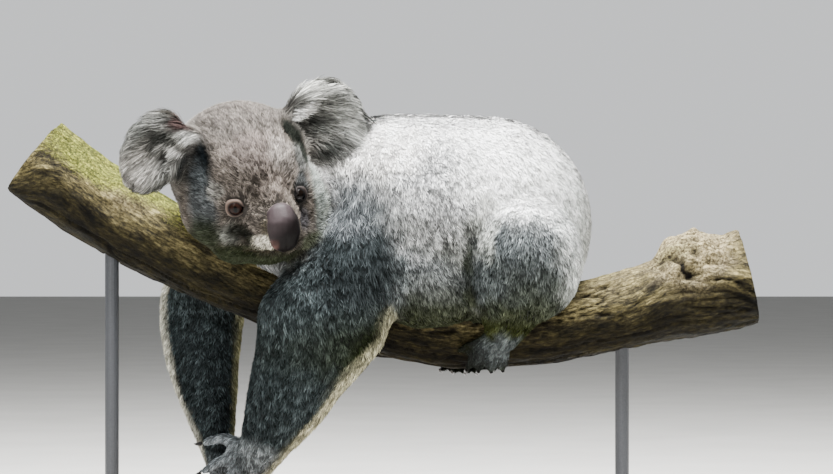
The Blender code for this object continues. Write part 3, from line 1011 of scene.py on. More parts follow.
@dataclass(frozen=True)
class StainedWood:
    """Walnut-stained hardwood board, sanded and waxed: long straight grain under a low satin shine."""

    grain_mm: float = 4.0
    pore_mm: float = 0.8
    deep_mm: float = 0.2
    drawn_out: float = 0.06

    def material(self, name: str) -> bpy.types.Material:
        """Builds the material, its grain along x.

        Args:
            name: the material's name.

        Returns:
            The material.
        """
        made, tree, output = blank_material(name)
        along = add_node(tree, "Mapping", {
            "Vector": add_node(tree, "TexCoord").outputs["Object"], "Scale": (self.drawn_out, 1.0, 1.0),
        }).outputs["Vector"]
        bands = add_node(tree, "TexNoise", {
            "Vector": along, "Scale": per_metre(self.grain_mm), "Detail": 5.0, "Roughness": 0.6,
            "Distortion": 0.4,
        }).outputs["Fac"]
        pores = add_node(tree, "TexNoise", {
            "Vector": along, "Scale": per_metre(self.pore_mm), "Detail": 2.0,
        }).outputs["Fac"]
        colour = colour_stops(
            add_node(tree, "ValToRGB", {"Fac": bands}), (0.3, "#2e1c12"), (0.5, "#4a2f1e"), (0.7, "#664630")
        )
        bump = add_node(tree, "Bump", {"Height": pores, "Strength": 0.25, "Distance": self.deep_mm * MM})
        rough = add_node(tree, "MapRange", {"Value": bands, "To Min": 0.32, "To Max": 0.5}).outputs["Result"]
        shader = add_node(tree, "BsdfPrincipled", {
            "Base Color": colour, "Roughness": rough, "Normal": bump.outputs["Normal"],
        })
        tree.links.new(shader.outputs["BSDF"], output.inputs["Surface"])
        return made


@dataclass(frozen=True)
class CoatedSteel:
    """Powder-coated steel: a dark satin skin with the faint dimple of baked powder."""

    dimple_mm: float = 1.5
    deep_mm: float = 0.15
    roughness: float = 0.42

    def material(self, name: str) -> bpy.types.Material:
        """Builds the material.

        Args:
            name: the material's name.

        Returns:
            The material.
        """
        made, tree, output = blank_material(name)
        peel = add_node(tree, "TexNoise", {
            "Vector": add_node(tree, "TexCoord").outputs["Object"], "Scale": per_metre(self.dimple_mm),
            "Detail": 1.0,
        }).outputs["Fac"]
        colour = colour_stops(add_node(tree, "ValToRGB", {"Fac": peel}), (0.3, "#24262a"), (0.7, "#2e3034"))
        bump = add_node(tree, "Bump", {"Height": peel, "Strength": 0.2, "Distance": self.deep_mm * MM})
        shader = add_node(tree, "BsdfPrincipled", {
            "Base Color": colour, "Roughness": self.roughness, "Normal": bump.outputs["Normal"],
        })
        tree.links.new(shader.outputs["BSDF"], output.inputs["Surface"])
        return made


@dataclass(frozen=True)
class StudioFloor:
    """Painted studio floor: matt pale grey with a barely visible roller texture."""

    mottle_mm: float = 1000 / 6
    roughness: float = 0.9

    def material(self, name: str) -> bpy.types.Material:
        """Builds the material.

        Args:
            name: the material's name.

        Returns:
            The material.
        """
        made, tree, output = blank_material(name)
        mottle = add_node(tree, "TexNoise", {
            "Vector": add_node(tree, "TexCoord").outputs["Object"], "Scale": per_metre(self.mottle_mm),
            "Detail": 3.0,
        }).outputs["Fac"]
        colour = colour_stops(add_node(tree, "ValToRGB", {"Fac": mottle}), (0.3, "#b4b3af"), (0.7, "#bbbab6"))
        shader = add_node(tree, "BsdfPrincipled", {
            "Base Color": colour, "Roughness": self.roughness, "Specular IOR Level": 0.2,
        })
        tree.links.new(shader.outputs["BSDF"], output.inputs["Surface"])
        return made


# ---------------------------------------------------------------- skin


@dataclass
class Hide:
    """The koala's skin, in one piece, drawn in from the solids by the depth of the coat."""

    anatomy: Anatomy
    markings: Markings
    voxel_mm: float = 2.8
    grow_mm: float = 1.0
    smoothing: int = 8
    draw_steps: int = 6
    thinning: float = 0.85
    easing: float = 0.3
    blend_rounds: int = 55
    hollow_mm: float = 5.0
    groove_mm: float = 3.0
    toes: tuple[float, float] = (0.238, 0.224)
    lips_mm: float = 1.5
    bare_lid_mm: tuple[float, float] = (2.6, 1.2)
    bare_nose_mm: tuple[float, float] = (2.0, 0.5)
    points: np.ndarray = field(init=False)
    triangles: np.ndarray = field(init=False)
    nodes: list[str] = field(init=False)
    kinds: list[str] = field(init=False)
    node_weights: np.ndarray = field(init=False)
    weights: np.ndarray = field(init=False)
    normals: np.ndarray = field(init=False)
    flow: np.ndarray = field(init=False)
    colours: np.ndarray = field(init=False)
    bare: np.ndarray = field(init=False)
    soft_weights: np.ndarray = field(init=False)
    pairs: np.ndarray = field(init=False)
    degree: np.ndarray = field(init=False)

    def build(self) -> None:
        """Makes the skin's shape and every value that the coat reads from it."""
        self.nodes = sorted(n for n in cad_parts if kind_of(n) in ZONES)
        self.kinds = sorted(set(map(kind_of, self.nodes)))
        form = moulded("form", self.nodes, self.grow_mm, self.voxel_mm, self.smoothing)
        self.points = vertices_of(form)
        form.data.calc_loop_triangles()
        corners = np.zeros(len(form.data.loop_triangles) * 3, np.int32)
        form.data.loop_triangles.foreach_get("vertices", corners)
        self.triangles = corners.reshape(-1, 3)
        bpy.data.objects.remove(form)
        self.keep_largest()
        self.weigh()
        self.draw_in()
        self.sculpt()
        self.normals = self.vertex_normals()
        self.flow = self.comb()
        self.bare = self.find_bare()
        self.soft_weights = self.spread(self.node_weights, self.blend_rounds)
        self.colours = self.markings.colour(
            self.points, self.normals, self.soft_weights, self.node_weights, self.nodes
        )

    def keep_largest(self) -> None:
        """Drops any small loose shell."""
        label = np.arange(len(self.points))
        a, b = self.edges().T
        while True:
            low = np.minimum(label[a], label[b])
            new = label.copy()
            np.minimum.at(new, a, low)
            np.minimum.at(new, b, low)
            new = new[new]
            if (new == label).all():
                break
            label = new
        names, counts = np.unique(label, return_counts=True)
        kept = label == names[counts.argmax()]
        number = np.cumsum(kept) - 1
        self.triangles = number[self.triangles[kept[self.triangles[:, 0]]]]
        self.points = self.points[kept]

    def edges(self) -> np.ndarray:
        """Each edge once, as a pair of vertices.

        Returns:
            One pair a row.
        """
        t = self.triangles
        pairs = np.sort(np.concatenate([t[:, :2], t[:, 1:], t[:, ::2]]), axis=1)
        return np.unique(pairs, axis=0)

    def spread(self, values: np.ndarray, rounds: int) -> np.ndarray:
        """Smooths values over the skin, by averaging each vertex with its neighbours.

        Args:
            values: one row, or one number, a vertex.
            rounds: how often it is done.

        Returns:
            The smoothed values.
        """
        a, b = self.pairs
        out = values.reshape(len(values), -1).astype(float)
        for _ in range(rounds):
            total = np.stack([np.bincount(a, out[b, c], len(out)) for c in range(out.shape[1])], axis=1)
            out = 0.4 * out + 0.6 * total / self.degree
        return out.reshape(values.shape)

    def weigh(self) -> None:
        """Finds which part of the body each vertex belongs to, with soft borders."""
        edges = self.edges()
        self.pairs = np.concatenate([edges, edges[:, ::-1]]).T
        self.degree = np.bincount(self.pairs[0], minlength=len(self.points))[:, None]
        corners, faces, owner = [], [], []
        for n, node in enumerate(self.nodes):
            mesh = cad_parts[node].data
            start = len(corners)
            corners += [v.co for v in mesh.vertices]
            faces += [[start + i for i in p.vertices] for p in mesh.polygons]
            owner += [n] * len(mesh.polygons)
        tree = BVHTree.FromPolygons(corners, faces)
        nearest = np.array([owner[tree.find_nearest(Vector(p))[2]] for p in self.points])
        one_hot = np.eye(len(self.nodes))[nearest]
        self.node_weights = self.spread(one_hot, 8)
        belongs = np.array([[kind_of(n) == k for k in self.kinds] for n in self.nodes], float)
        self.weights = self.node_weights @ belongs

    def zone_value(self, name: str) -> np.ndarray:
        """One of the zones' numbers, blended over the skin."""
        return self.weights @ np.array([getattr(ZONES[k], name) for k in self.kinds], float)

    def vertex_normals(self) -> np.ndarray:
        """Outward normals, from the faces round each vertex.

        Returns:
            Directions of length 1.
        """
        p, t = self.points, self.triangles
        face = np.cross(p[t[:, 1]] - p[t[:, 0]], p[t[:, 2]] - p[t[:, 0]])
        out = np.zeros_like(p)
        for c in range(3):
            for axis in range(3):
                out[:, axis] += np.bincount(t[:, c], face[:, axis], len(p))
        return unit(out)

    def draw_in(self) -> None:
        """Moves the skin in by the coat's depth, a little at a time, and stops where the ears get thin."""
        step = self.spread(self.zone_value("depth") + self.grow_mm, 4) * MM / self.draw_steps
        outside = BVHTree.FromPolygons(self.points.tolist(), self.triangles.tolist())
        thin = np.flatnonzero(self.weights[:, self.kinds.index("ear")] > 0.02)
        gone = np.zeros(len(self.points))
        for _ in range(self.draw_steps):
            inward = self.points - self.vertex_normals() * step[:, None]
            left = np.array([outside.find_nearest(p)[3] for p in inward[thin].tolist()])
            free = np.ones(len(self.points), bool)
            free[thin] = left > self.thinning * (gone + step)[thin]
            gone[free] += step[free]
            self.points[free] = inward[free]
            self.points += self.easing * (self.spread(self.points, 1) - self.points)

    def sculpt(self) -> None:
        """Shapes what the solids leave out: the hollow of each ear, the toes and the mouth."""
        normals = self.vertex_normals()
        for side in SIDES:
            ear = self.anatomy.ears[side]
            across = np.linalg.norm((ear.local_mm(self.points)[:, 1:] - EAR_HOLLOW) / (22, 24), axis=1)
            facing = ramp(normals @ ear.axes[0], 0.1, 0.7)
            hollow = self.share_of(f"ear_{side}") * facing * ramp(across, 1.0, 0.2)
            self.points -= ear.axes[0] * (hollow * self.hollow_mm * MM)[:, None]
        for side in SIDES:
            tips = np.sort([middle(f"claw_foot_{side}_{n}")[0] for n in (2, 3, 4, 5)])
            gaps = (tips[1:] + tips[:-1]) / 2
            off = np.abs(self.points[:, :1] - gaps).min(1) / MM
            groove = self.share_of(f"foot_{side}") * ramp(self.points[:, 2], *self.toes) * ramp(off, 3.2, 0.4)
            self.points -= normals * (groove * self.groove_mm * MM)[:, None]
        lips = self.markings.mouth.amount(self.anatomy.head.local_mm(self.points), 4.0)
        lips *= self.share_of("head")
        self.points -= normals * (lips * self.lips_mm * MM)[:, None]

    def share_of(self, node: str) -> np.ndarray:
        """How much of each vertex belongs to a part of the body."""
        return self.node_weights[:, self.nodes.index(node)]

    def lie(self, node: str) -> np.ndarray:
        """Which way the coat of one part of the body is combed, before it is laid on the skin.

        Args:
            node: the part's node.

        Returns:
            One direction a vertex, or one for them all.
        """
        kind, side = kind_of(node), node.rsplit("_", 1)[-1]
        if kind in HEAD_KINDS:
            return unit(self.points - middle("nose"))
        if kind == "ear":
            away = unit(self.points - self.anatomy.ears[side].world((0, -32, 32)))
            return unit(away + np.array([0, 0, -0.25]))
        if kind in ("shank", "foot"):
            ankle = vertices_of(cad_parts[f"shank_{side}"]).mean(0)
            return unit(middle(f"claw_foot_{side}_3") - ankle)
        if kind == "hand":
            wrist = vertices_of(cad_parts[f"forearm_{side}"]).mean(0)
            return unit(middle(node) - wrist)
        ways = {
            "neck": (0.35, -0.1, -1.0), "trunk": (0.30, 0.0, -1.0), "thigh": (0.05, 0.0, -1.0),
            "upper_arm": (0.15, 0.0, -1.0), "forearm": (-0.15, 0.0, -1.0),
        }
        return unit(np.array(ways[kind]))

    def comb(self) -> np.ndarray:
        """The lie of the coat at each vertex, as a tangent of length 1.

        Returns:
            One direction a vertex.
        """
        out = np.zeros_like(self.points)
        for n, node in enumerate(self.nodes):
            out += self.node_weights[:, n : n + 1] * self.lie(node)
        for side in SIDES:
            away = self.points - middle(f"eye_{side}")
            near = ramp(np.linalg.norm(away, axis=1), 20 * MM, 12 * MM)[:, None]
            out = out * (1 - near) + unit(away) * near
        out = unit(self.spread(out, 6))
        calm = 1 - 0.75 * self.weights[:, self.kinds.index("ear")][:, None]
        for size_mm, strength in ((16, 0.40), (6.5, 0.40)):
            stir = np.stack([clouds(self.points, size_mm, s) for s in (21, 22, 23)], axis=1) - 0.5
            out = out + stir * strength * calm
        out = out - self.normals * dot(out, self.normals)
        flat = np.linalg.norm(out, axis=1) < 0.05
        out[flat] = np.array([1.0, 0, 0]) - self.normals[flat] * self.normals[flat][:, :1]
        return unit(out)

    def find_bare(self) -> np.ndarray:
        """How bare the skin is at each vertex: 1 on the lids and under the nose pad.

        Returns:
            One number a vertex.
        """
        out = np.zeros(len(self.points))
        for side in SIDES:
            eye = f"eye_{side}"
            away = np.linalg.norm(self.points - middle(eye), axis=1)
            out = np.maximum(out, ramp((away - radius(eye)) / MM, *self.bare_lid_mm))
        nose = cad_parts["nose"].data
        tree = BVHTree.FromPolygons([v.co for v in nose.vertices], [list(p.vertices) for p in nose.polygons])
        reach = np.array([(tree.find_nearest(Vector(p), 0.02)[3] or 1.0) for p in self.points])
        return np.maximum(out, ramp(reach / MM, *self.bare_nose_mm))

    def dress(self) -> bpy.types.Object:
        """Makes the skin object, with the lids round the eyes, in its finish.

        Returns:
            The skin.
        """
        # The skin under the coat is painted darker than the coat, as painted shade in the gaps between the
        # locks, less under pale fur.
        under = self.colours * (0.3 + 0.45 * paleness(self.colours))[:, None]
        points, triangles, colours = [self.points], [self.triangles], [under]
        for side in SIDES:
            lid_points, lid_triangles, lid_colours = Lids(side, self.anatomy).shape()
            triangles.append(lid_triangles + sum(map(len, points)))
            points.append(lid_points)
            colours.append(lid_colours)
        obj = mesh_object("skin", np.concatenate(points), np.concatenate(triangles))
        paint(obj, MARKINGS, np.concatenate(colours))
        return finished(obj, Slot.SKIN, HideFinish().material("koala_hide"),
                        *[n for n in self.nodes if kind_of(n) not in ("nose", "eye")])


# ---------------------------------------------------------------- coat


@dataclass
class Locks:
    """A batch of coat locks: where each grows and ends, how it lies, and how it looks. Lengths are metres."""

    roots: np.ndarray
    bends: np.ndarray
    tips: np.ndarray
    normals: np.ndarray
    width: np.ndarray
    colours: np.ndarray

    def take(self, chosen: np.ndarray) -> "Locks":
        """Some of the locks."""
        return Locks(*[getattr(self, name)[chosen] for name in self.__dataclass_fields__])

    def __len__(self) -> int:
        """How many locks there are."""
        return len(self.roots)


@dataclass(frozen=True)
class LockForm:
    """A kind of lock, closed all round and slender.

    The short one is a straight blade of four faces, a little thicker in its middle. The long one has a
    three-cornered section at each of its stations, so that it can bend.
    """

    stations: tuple[float, ...]
    ridged: bool
    faces: tuple[tuple[int, int, int], ...]


SHORT_LOCK = LockForm((0.5,), False, ((0, 2, 1), (1, 2, 3), (0, 1, 3), (0, 3, 2)))
LONG_LOCK = LockForm(
    (0.3, 0.68), True,
    (
        (0, 3, 1), (0, 2, 3), (0, 1, 2),
        (1, 3, 6), (1, 6, 4), (3, 2, 5), (3, 5, 6), (2, 1, 4), (2, 4, 5),
        (4, 6, 7), (6, 5, 7), (5, 4, 7),
    ),
)


@dataclass
class Coat:
    """The coat: slender closed locks, each with a sunken root and a tip laid just over the skin."""

    hide: Hide
    budget: int = 318_000
    most_faces: int = 198_000
    patch: float = 0.003
    sunk_mm: float = 0.5
    lengths: tuple[float, float] = (0.75, 1.2)
    heights: tuple[float, float] = (0.7, 1.2)
    widths: tuple[float, float] = (0.7, 1.25)
    clump_contrast: float = 3.6
    fleck_depth: float = 0.6
    brightest: float = 0.95
    seed: int = 7

    def scatter(self, rng: np.random.Generator) -> tuple[np.ndarray, np.ndarray]:
        """Picks the locks' places on the skin, by the zones' densities.

        Args:
            rng: the source of chance.

        Returns:
            For each lock, the corners of its triangle of skin, and how much it takes of each.
        """
        h = self.hide
        p = h.points[h.triangles]
        area = np.linalg.norm(np.cross(p[:, 1] - p[:, 0], p[:, 2] - p[:, 0]), axis=1) / 2 / MM**2
        density = h.zone_value("density") * (1 - h.bare)
        expected = area * density[h.triangles].mean(1)
        count = min(self.budget, int(expected.sum()))
        log.info("coat: %.0f locks wanted, %d grown", expected.sum(), count)
        steps = np.cumsum(expected)
        chosen = np.searchsorted(steps, rng.random(count) * steps[-1])
        u, v = rng.random(count), rng.random(count)
        over = u + v > 1
        u[over], v[over] = 1 - u[over], 1 - v[over]
        return h.triangles[chosen], np.stack([1 - u - v, u, v], axis=1)

    def grow(self) -> tuple[Locks, np.ndarray]:
        """Grows the locks, and lays each one on the skin.

        Returns:
            The locks, and the number of the body node that each grows on.
        """
        h, rng = self.hide, np.random.default_rng(self.seed)
        corners, share = self.scatter(rng)
        count = len(corners)

        def read(values: np.ndarray) -> np.ndarray:
            """Values at the roots, from the skin's vertices."""
            return np.einsum("nc,nc...->n...", share, values[corners])

        def zone(name: str) -> np.ndarray:
            """One of the zones' numbers at the roots."""
            return read(h.zone_value(name))

        roots, normals, combed = read(h.points), unit(read(h.normals)), read(h.flow)
        flow = combed + rng.normal(0, 1, (count, 3)) * zone("loose")[:, None]
        flow = unit(flow - normals * dot(flow, normals))
        kinds = [kind_of(n) for n in h.nodes]
        mine = read(h.node_weights)
        fine = mine[:, [k in (*HEAD_KINDS, "hand", "foot") for k in kinds]].sum(1)
        ear = mine[:, [k == "ear" for k in kinds]].sum(1)
        body, ways = 1 - fine - ear, unit(combed)
        clump = fine * streaks(roots, ways, 1.9, 1.2, 5) + ear * streaks(roots, ways, 1.6, 9.0, 8)
        clump += body * streaks(roots, ways, 2.4, 2.4, 6)
        shaggy = clump * (1 - ear) + 0.6 * ear
        reach = self.local_length(roots) * (0.75 + 0.5 * shaggy)
        length = zone("length") * rng.uniform(*self.lengths, count) * reach * MM
        uneven = rng.uniform(*self.heights, count) ** (1 + 1.5 * ear)
        height = zone("depth") * (0.5 + 0.6 * shaggy) * uneven * MM
        contrast = zone("contrast")
        tone = np.exp(rng.normal(0, 1, count) * contrast - contrast**2 / 2)
        # Locks in the clefts between clumps are painted darker and those on the crests lighter: painted shade
        # and painted light.
        tone *= np.exp((clump - 0.5) * self.clump_contrast * contrast)
        tone *= 0.85 + 0.3 * clouds(roots, 16, 3)
        flecks = ramp(clouds(roots, 2.4, 41), 0.56, 0.7) * ramp(clouds(roots, 26, 42), 0.4, 0.6)
        tone *= 1 - self.fleck_depth * flecks * body
        seen = roots + flow * (length * 0.4)[:, None] + normals * height[:, None] * 0.5
        colours = h.markings.colour(seen, normals, read(h.soft_weights), mine, h.nodes) * tone[:, None]
        sunk = roots - normals * self.sunk_mm * MM
        tips = self.laid(roots + flow * length[:, None], height)
        width = zone("width") * rng.uniform(*self.widths, count) * MM
        arched = sunk + flow * (length * 0.45)[:, None] + normals * (height * 1.1)[:, None]
        straight = (sunk + tips) / 2 + normals * width[:, None]
        bends = np.where(ear[:, None] > 0.5, arched, straight)
        locks = Locks(sunk, bends, tips, normals, width, np.clip(colours, 0, self.brightest))
        return locks, mine.argmax(1)

    def local_length(self, roots: np.ndarray) -> np.ndarray:
        """How the locks' length varies: short round the nose and in the ears' hollows, long on the cheeks.

        Args:
            roots: the locks' roots.

        Returns:
            A factor for each lock.
        """
        anatomy = self.hide.anatomy
        local = anatomy.head.local_mm(roots)
        from_nose = np.linalg.norm(local - anatomy.head.local_mm(middle("nose")[None])[0], axis=1)
        on_head = ramp(from_nose, 125, 110)
        cheek = ramp(np.abs(local[:, 1]), 46, 62) * ramp(local[:, 2], 20, -10)
        factor = 0.5 + 0.6 * ramp(from_nose, 18, 60) + 0.7 * cheek
        out = 1 + (factor - 1) * on_head
        for ear in anatomy.ears.values():
            local = ear.local_mm(roots)
            inside = ramp(np.linalg.norm((local[:, 1:] - EAR_HOLLOW) / (24, 26), axis=1), 1.1, 0.6)
            out = out * (1 - 0.5 * inside * ramp(local[:, 0], -3, 3))
        return out

    def laid(self, tips: np.ndarray, height: np.ndarray) -> np.ndarray:
        """Moves tips straight in or out until each is at its own height above the skin.

        Args:
            tips: where the tips would be.
            height: how high above the skin each should end.

        Returns:
            The tips in place.
        """
        tree = BVHTree.FromPolygons(self.hide.points.tolist(), self.hide.triangles.tolist())
        found = [tree.find_nearest(tip) for tip in tips.tolist()]
        near = np.array([place for place, _, _, _ in found])
        facing = np.array([normal for _, normal, _, _ in found])
        away = tips - near
        outside = np.sign(dot(away, facing))
        close = np.linalg.norm(away, axis=1, keepdims=True) < 0.3 * MM
        return near + np.where(close, facing, unit(away) * outside) * height[:, None]

    def shape(self, locks: Locks, form: LockForm) -> tuple[np.ndarray, ...]:
        """Works out the locks' meshes.

        Args:
            locks: the locks.
            form: which kind of lock they are.

        Returns:
            Vertices, faces, vertex normals, vertex colours, and each vertex's place in its bake patch.
        """
        n = len(locks)
        along = unit(locks.tips - locks.roots)
        across = unit(np.cross(locks.normals, along))
        # Each corner is its place along, across and up the lock, and a shade: the lock is painted dark at the
        # root and light at the tip, partly the hairs' own darker bases and partly painted shade deep in the
        # coat and painted light on the tips.
        corners = [(0.0, 0.0, 0.0, 0.25)]
        for t in form.stations:
            wide, shade = 0.5 - 0.25 * max(0.0, t - 0.4), 0.45 + 0.75 * t
            low = -0.2 if form.ridged else 0.0
            corners += [(t, wide, low, shade), (t, -wide, low, shade)]
            if form.ridged:
                corners.append((t, 0.0, 0.25, shade))
        corners.append((1.0, 0.0, 0.0, 1.5))
        columns, normals = [], []
        w = locks.width[:, None]
        for t, sideways, raised, _ in corners:
            at = locks.roots * (1 - t) ** 2 + locks.bends * 2 * t * (1 - t) + locks.tips * t**2
            columns.append(at + across * w * sideways + locks.normals * w * raised)
            normals.append(unit(locks.normals + across * sideways * 1.3 + along * 0.35 * t))
        places = np.array([(c[1], c[0] - 0.5) for c in corners])
        # Pale locks get less of this painted shade.
        even = 1 - 0.8 * paleness(locks.colours)[:, None]
        shades = np.array([c[3] for c in corners])[None, :] ** even
        offsets = (np.arange(n) * len(corners))[:, None, None]
        return (
            np.stack(columns, axis=1).reshape(-1, 3),
            (offsets + np.array(form.faces)).reshape(-1, 3),
            np.stack(normals, axis=1).reshape(-1, 3),
            (locks.colours[:, None, :] * shades[:, :, None]).reshape(-1, 3),
            np.tile(places, (n, 1)),
        )

    def unwrap(self, roots: np.ndarray) -> np.ndarray:
        """Places on an unwrap of this stretch of skin: it is blown up to a ball, and opened into a square.

        Args:
            roots: places on the skin.

        Returns:
            Two map coordinates for each, from 0 to 1.
        """
        low, high = roots.min(0), roots.max(0)
        d = (roots - (low + high) / 2) / np.maximum(high - low, 1e-6)
        d /= np.maximum(np.abs(d).sum(1, keepdims=True), 1e-9)
        sign = np.where(d[:, :2] >= 0, 1.0, -1.0)
        folded = np.where(d[:, 2:] < 0, (1 - np.abs(d[:, 1::-1])) * sign, d[:, :2])
        return 0.004 + (folded * 0.5 + 0.5) * 0.992

    def piece(
        self, name: str, locks: Locks, form: LockForm, material: bpy.types.Material
    ) -> bpy.types.Object:
        """Makes one piece of the coat, with its colours, normals and bake map.

        Args:
            name: the piece's name.
            locks: its locks.
            form: the form they are given.
            material: its material.

        Returns:
            The piece.
        """
        vertices, faces, normals, colours, patches = self.shape(locks, form)
        obj = mesh_object(name, vertices, faces)
        paint(obj, MARKINGS, colours)
        per_lock = len(vertices) // len(locks)
        places = np.repeat(self.unwrap(locks.roots), per_lock, axis=0) + patches * self.patch
        layer = obj.data.uv_layers.new(name=BAKE_MAP)
        layer.data.foreach_set("uv", places[faces.ravel()].astype(np.float32).ravel())
        obj.data.normals_split_custom_set_from_vertices(normals.astype(np.float32))
        return finished(obj, Slot.COAT, material)

    def dress(self) -> None:
        """Grows the coat and makes its pieces, part by part of the body."""
        locks, owner = self.grow()
        material = FurFinish().material("koala_fur")
        region = np.array([self.region(n) for n in self.hide.nodes])[owner]
        for name in np.unique(region):
            chosen = np.flatnonzero(region == name)
            form = LONG_LOCK if name.startswith("ear") else SHORT_LOCK
            most = self.most_faces // len(form.faces)
            chosen = chosen[np.argsort(locks.roots[chosen, 0], kind="stable")]
            parts = math.ceil(len(chosen) / most)
            for k, part in enumerate(np.array_split(chosen, parts)):
                label = f"coat_{name}" + (f"_{k + 1}" if parts > 1 else "")
                self.piece(label, locks.take(part), form, material)

    @staticmethod
    def region(node: str) -> str:
        """The coat piece that a body node's locks go into.

        Args:
            node: the node.

        Returns:
            The region's name.
        """
        kind, side = kind_of(node), node.rsplit("_", 1)[-1]
        if kind in HEAD_KINDS:
            return "head"
        if kind in ("neck", "trunk"):
            return "trunk"
        if kind in ("thigh", "shank", "foot"):
            return f"leg_{side}"
        return f"ear_{side}" if kind == "ear" else f"arm_{side}"


# ---------------------------------------------------------------- eyes, nose and claws


@dataclass
class Eye:
    """An eyeball, turned so that its front looks the way the koala does."""

    side: str
    anatomy: Anatomy
    rings: int = 48
    segments: int = 64
    turn: float = math.radians(24)
    drop: float = 0.12
    cornea: float = 0.05
    pupil: tuple[float, float] = (0.2, 0.4)
    shaded_iris: tuple[str, ...] = ("#030202", "#060403", "#050302", "#030202", "#020101", "#020202")

    def gaze(self) -> np.ndarray:
        """The eye's axes: its line of sight, its left and its up.

        Returns:
            The three directions, one a row.
        """
        head = self.anatomy.head.axes
        sign = 1 if self.side == "left" else -1
        look = head[0] * math.cos(self.turn) + head[1] * math.sin(self.turn) * sign - head[2] * self.drop
        look = unit(look)
        left = unit(np.cross(head[2], look))
        return np.array([look, left, np.cross(look, left)])

    def ball(self) -> tuple[np.ndarray, np.ndarray]:
        """A ball of radius 1, with its rings round the line of sight.

        Returns:
            Its points, in the eye's axes, and its triangles.
        """
        polar = np.linspace(0, math.pi, self.rings + 1)[1:-1]
        turn = np.linspace(0, 2 * math.pi, self.segments, endpoint=False)
        p, t = (grid.ravel() for grid in np.meshgrid(polar, turn, indexing="ij"))
        local = np.stack([np.cos(p), np.sin(p) * np.cos(t), np.sin(p) * np.sin(t)], axis=1)
        local = np.concatenate([[(1, 0, 0)], local, [(-1, 0, 0)]])
        faces = []
        for s in range(self.segments):
            after = (s + 1) % self.segments
            faces.append((0, 1 + s, 1 + after, 1 + after))
            for r in range(self.rings - 2):
                a = 1 + r * self.segments
                faces.append((a + s, a + self.segments + s, a + self.segments + after, a + after))
            a = 1 + (self.rings - 2) * self.segments
            faces.append((a + after, a + s, len(local) - 1, len(local) - 1))
        triangles = []
        for a, b, c, d in faces:
            triangles += [(a, b, c)] if c == d else [(a, b, c), (a, c, d)]
        return local, np.array(triangles)

    def dress(self) -> bpy.types.Object:
        """Makes the eyeball, with a cornea that stands out a little.

        Returns:
            The eyeball.
        """
        node = f"eye_{self.side}"
        local, triangles = self.ball()
        angle = np.arccos(np.clip(local[:, 0], -1, 1))
        bulge = 1 + self.cornea * ramp(angle, math.radians(50), math.radians(20))
        points = local * bulge[:, None] * radius(node) @ self.gaze() + middle(node)
        obj = mesh_object(node + "_ball", points, triangles)
        behind = local[:, 0] < 0
        paint(obj, "off_axis", angle / (math.pi / 2))
        paint(obj, "pupil", np.linalg.norm(local[:, 1:] / self.pupil, axis=1) + 9 * behind)
        finish = EyeFinish() if self.side == "right" else EyeFinish(iris=self.shaded_iris)
        return finished(obj, Slot.EYE, finish.material(f"glass_eye_{self.side}"), node)


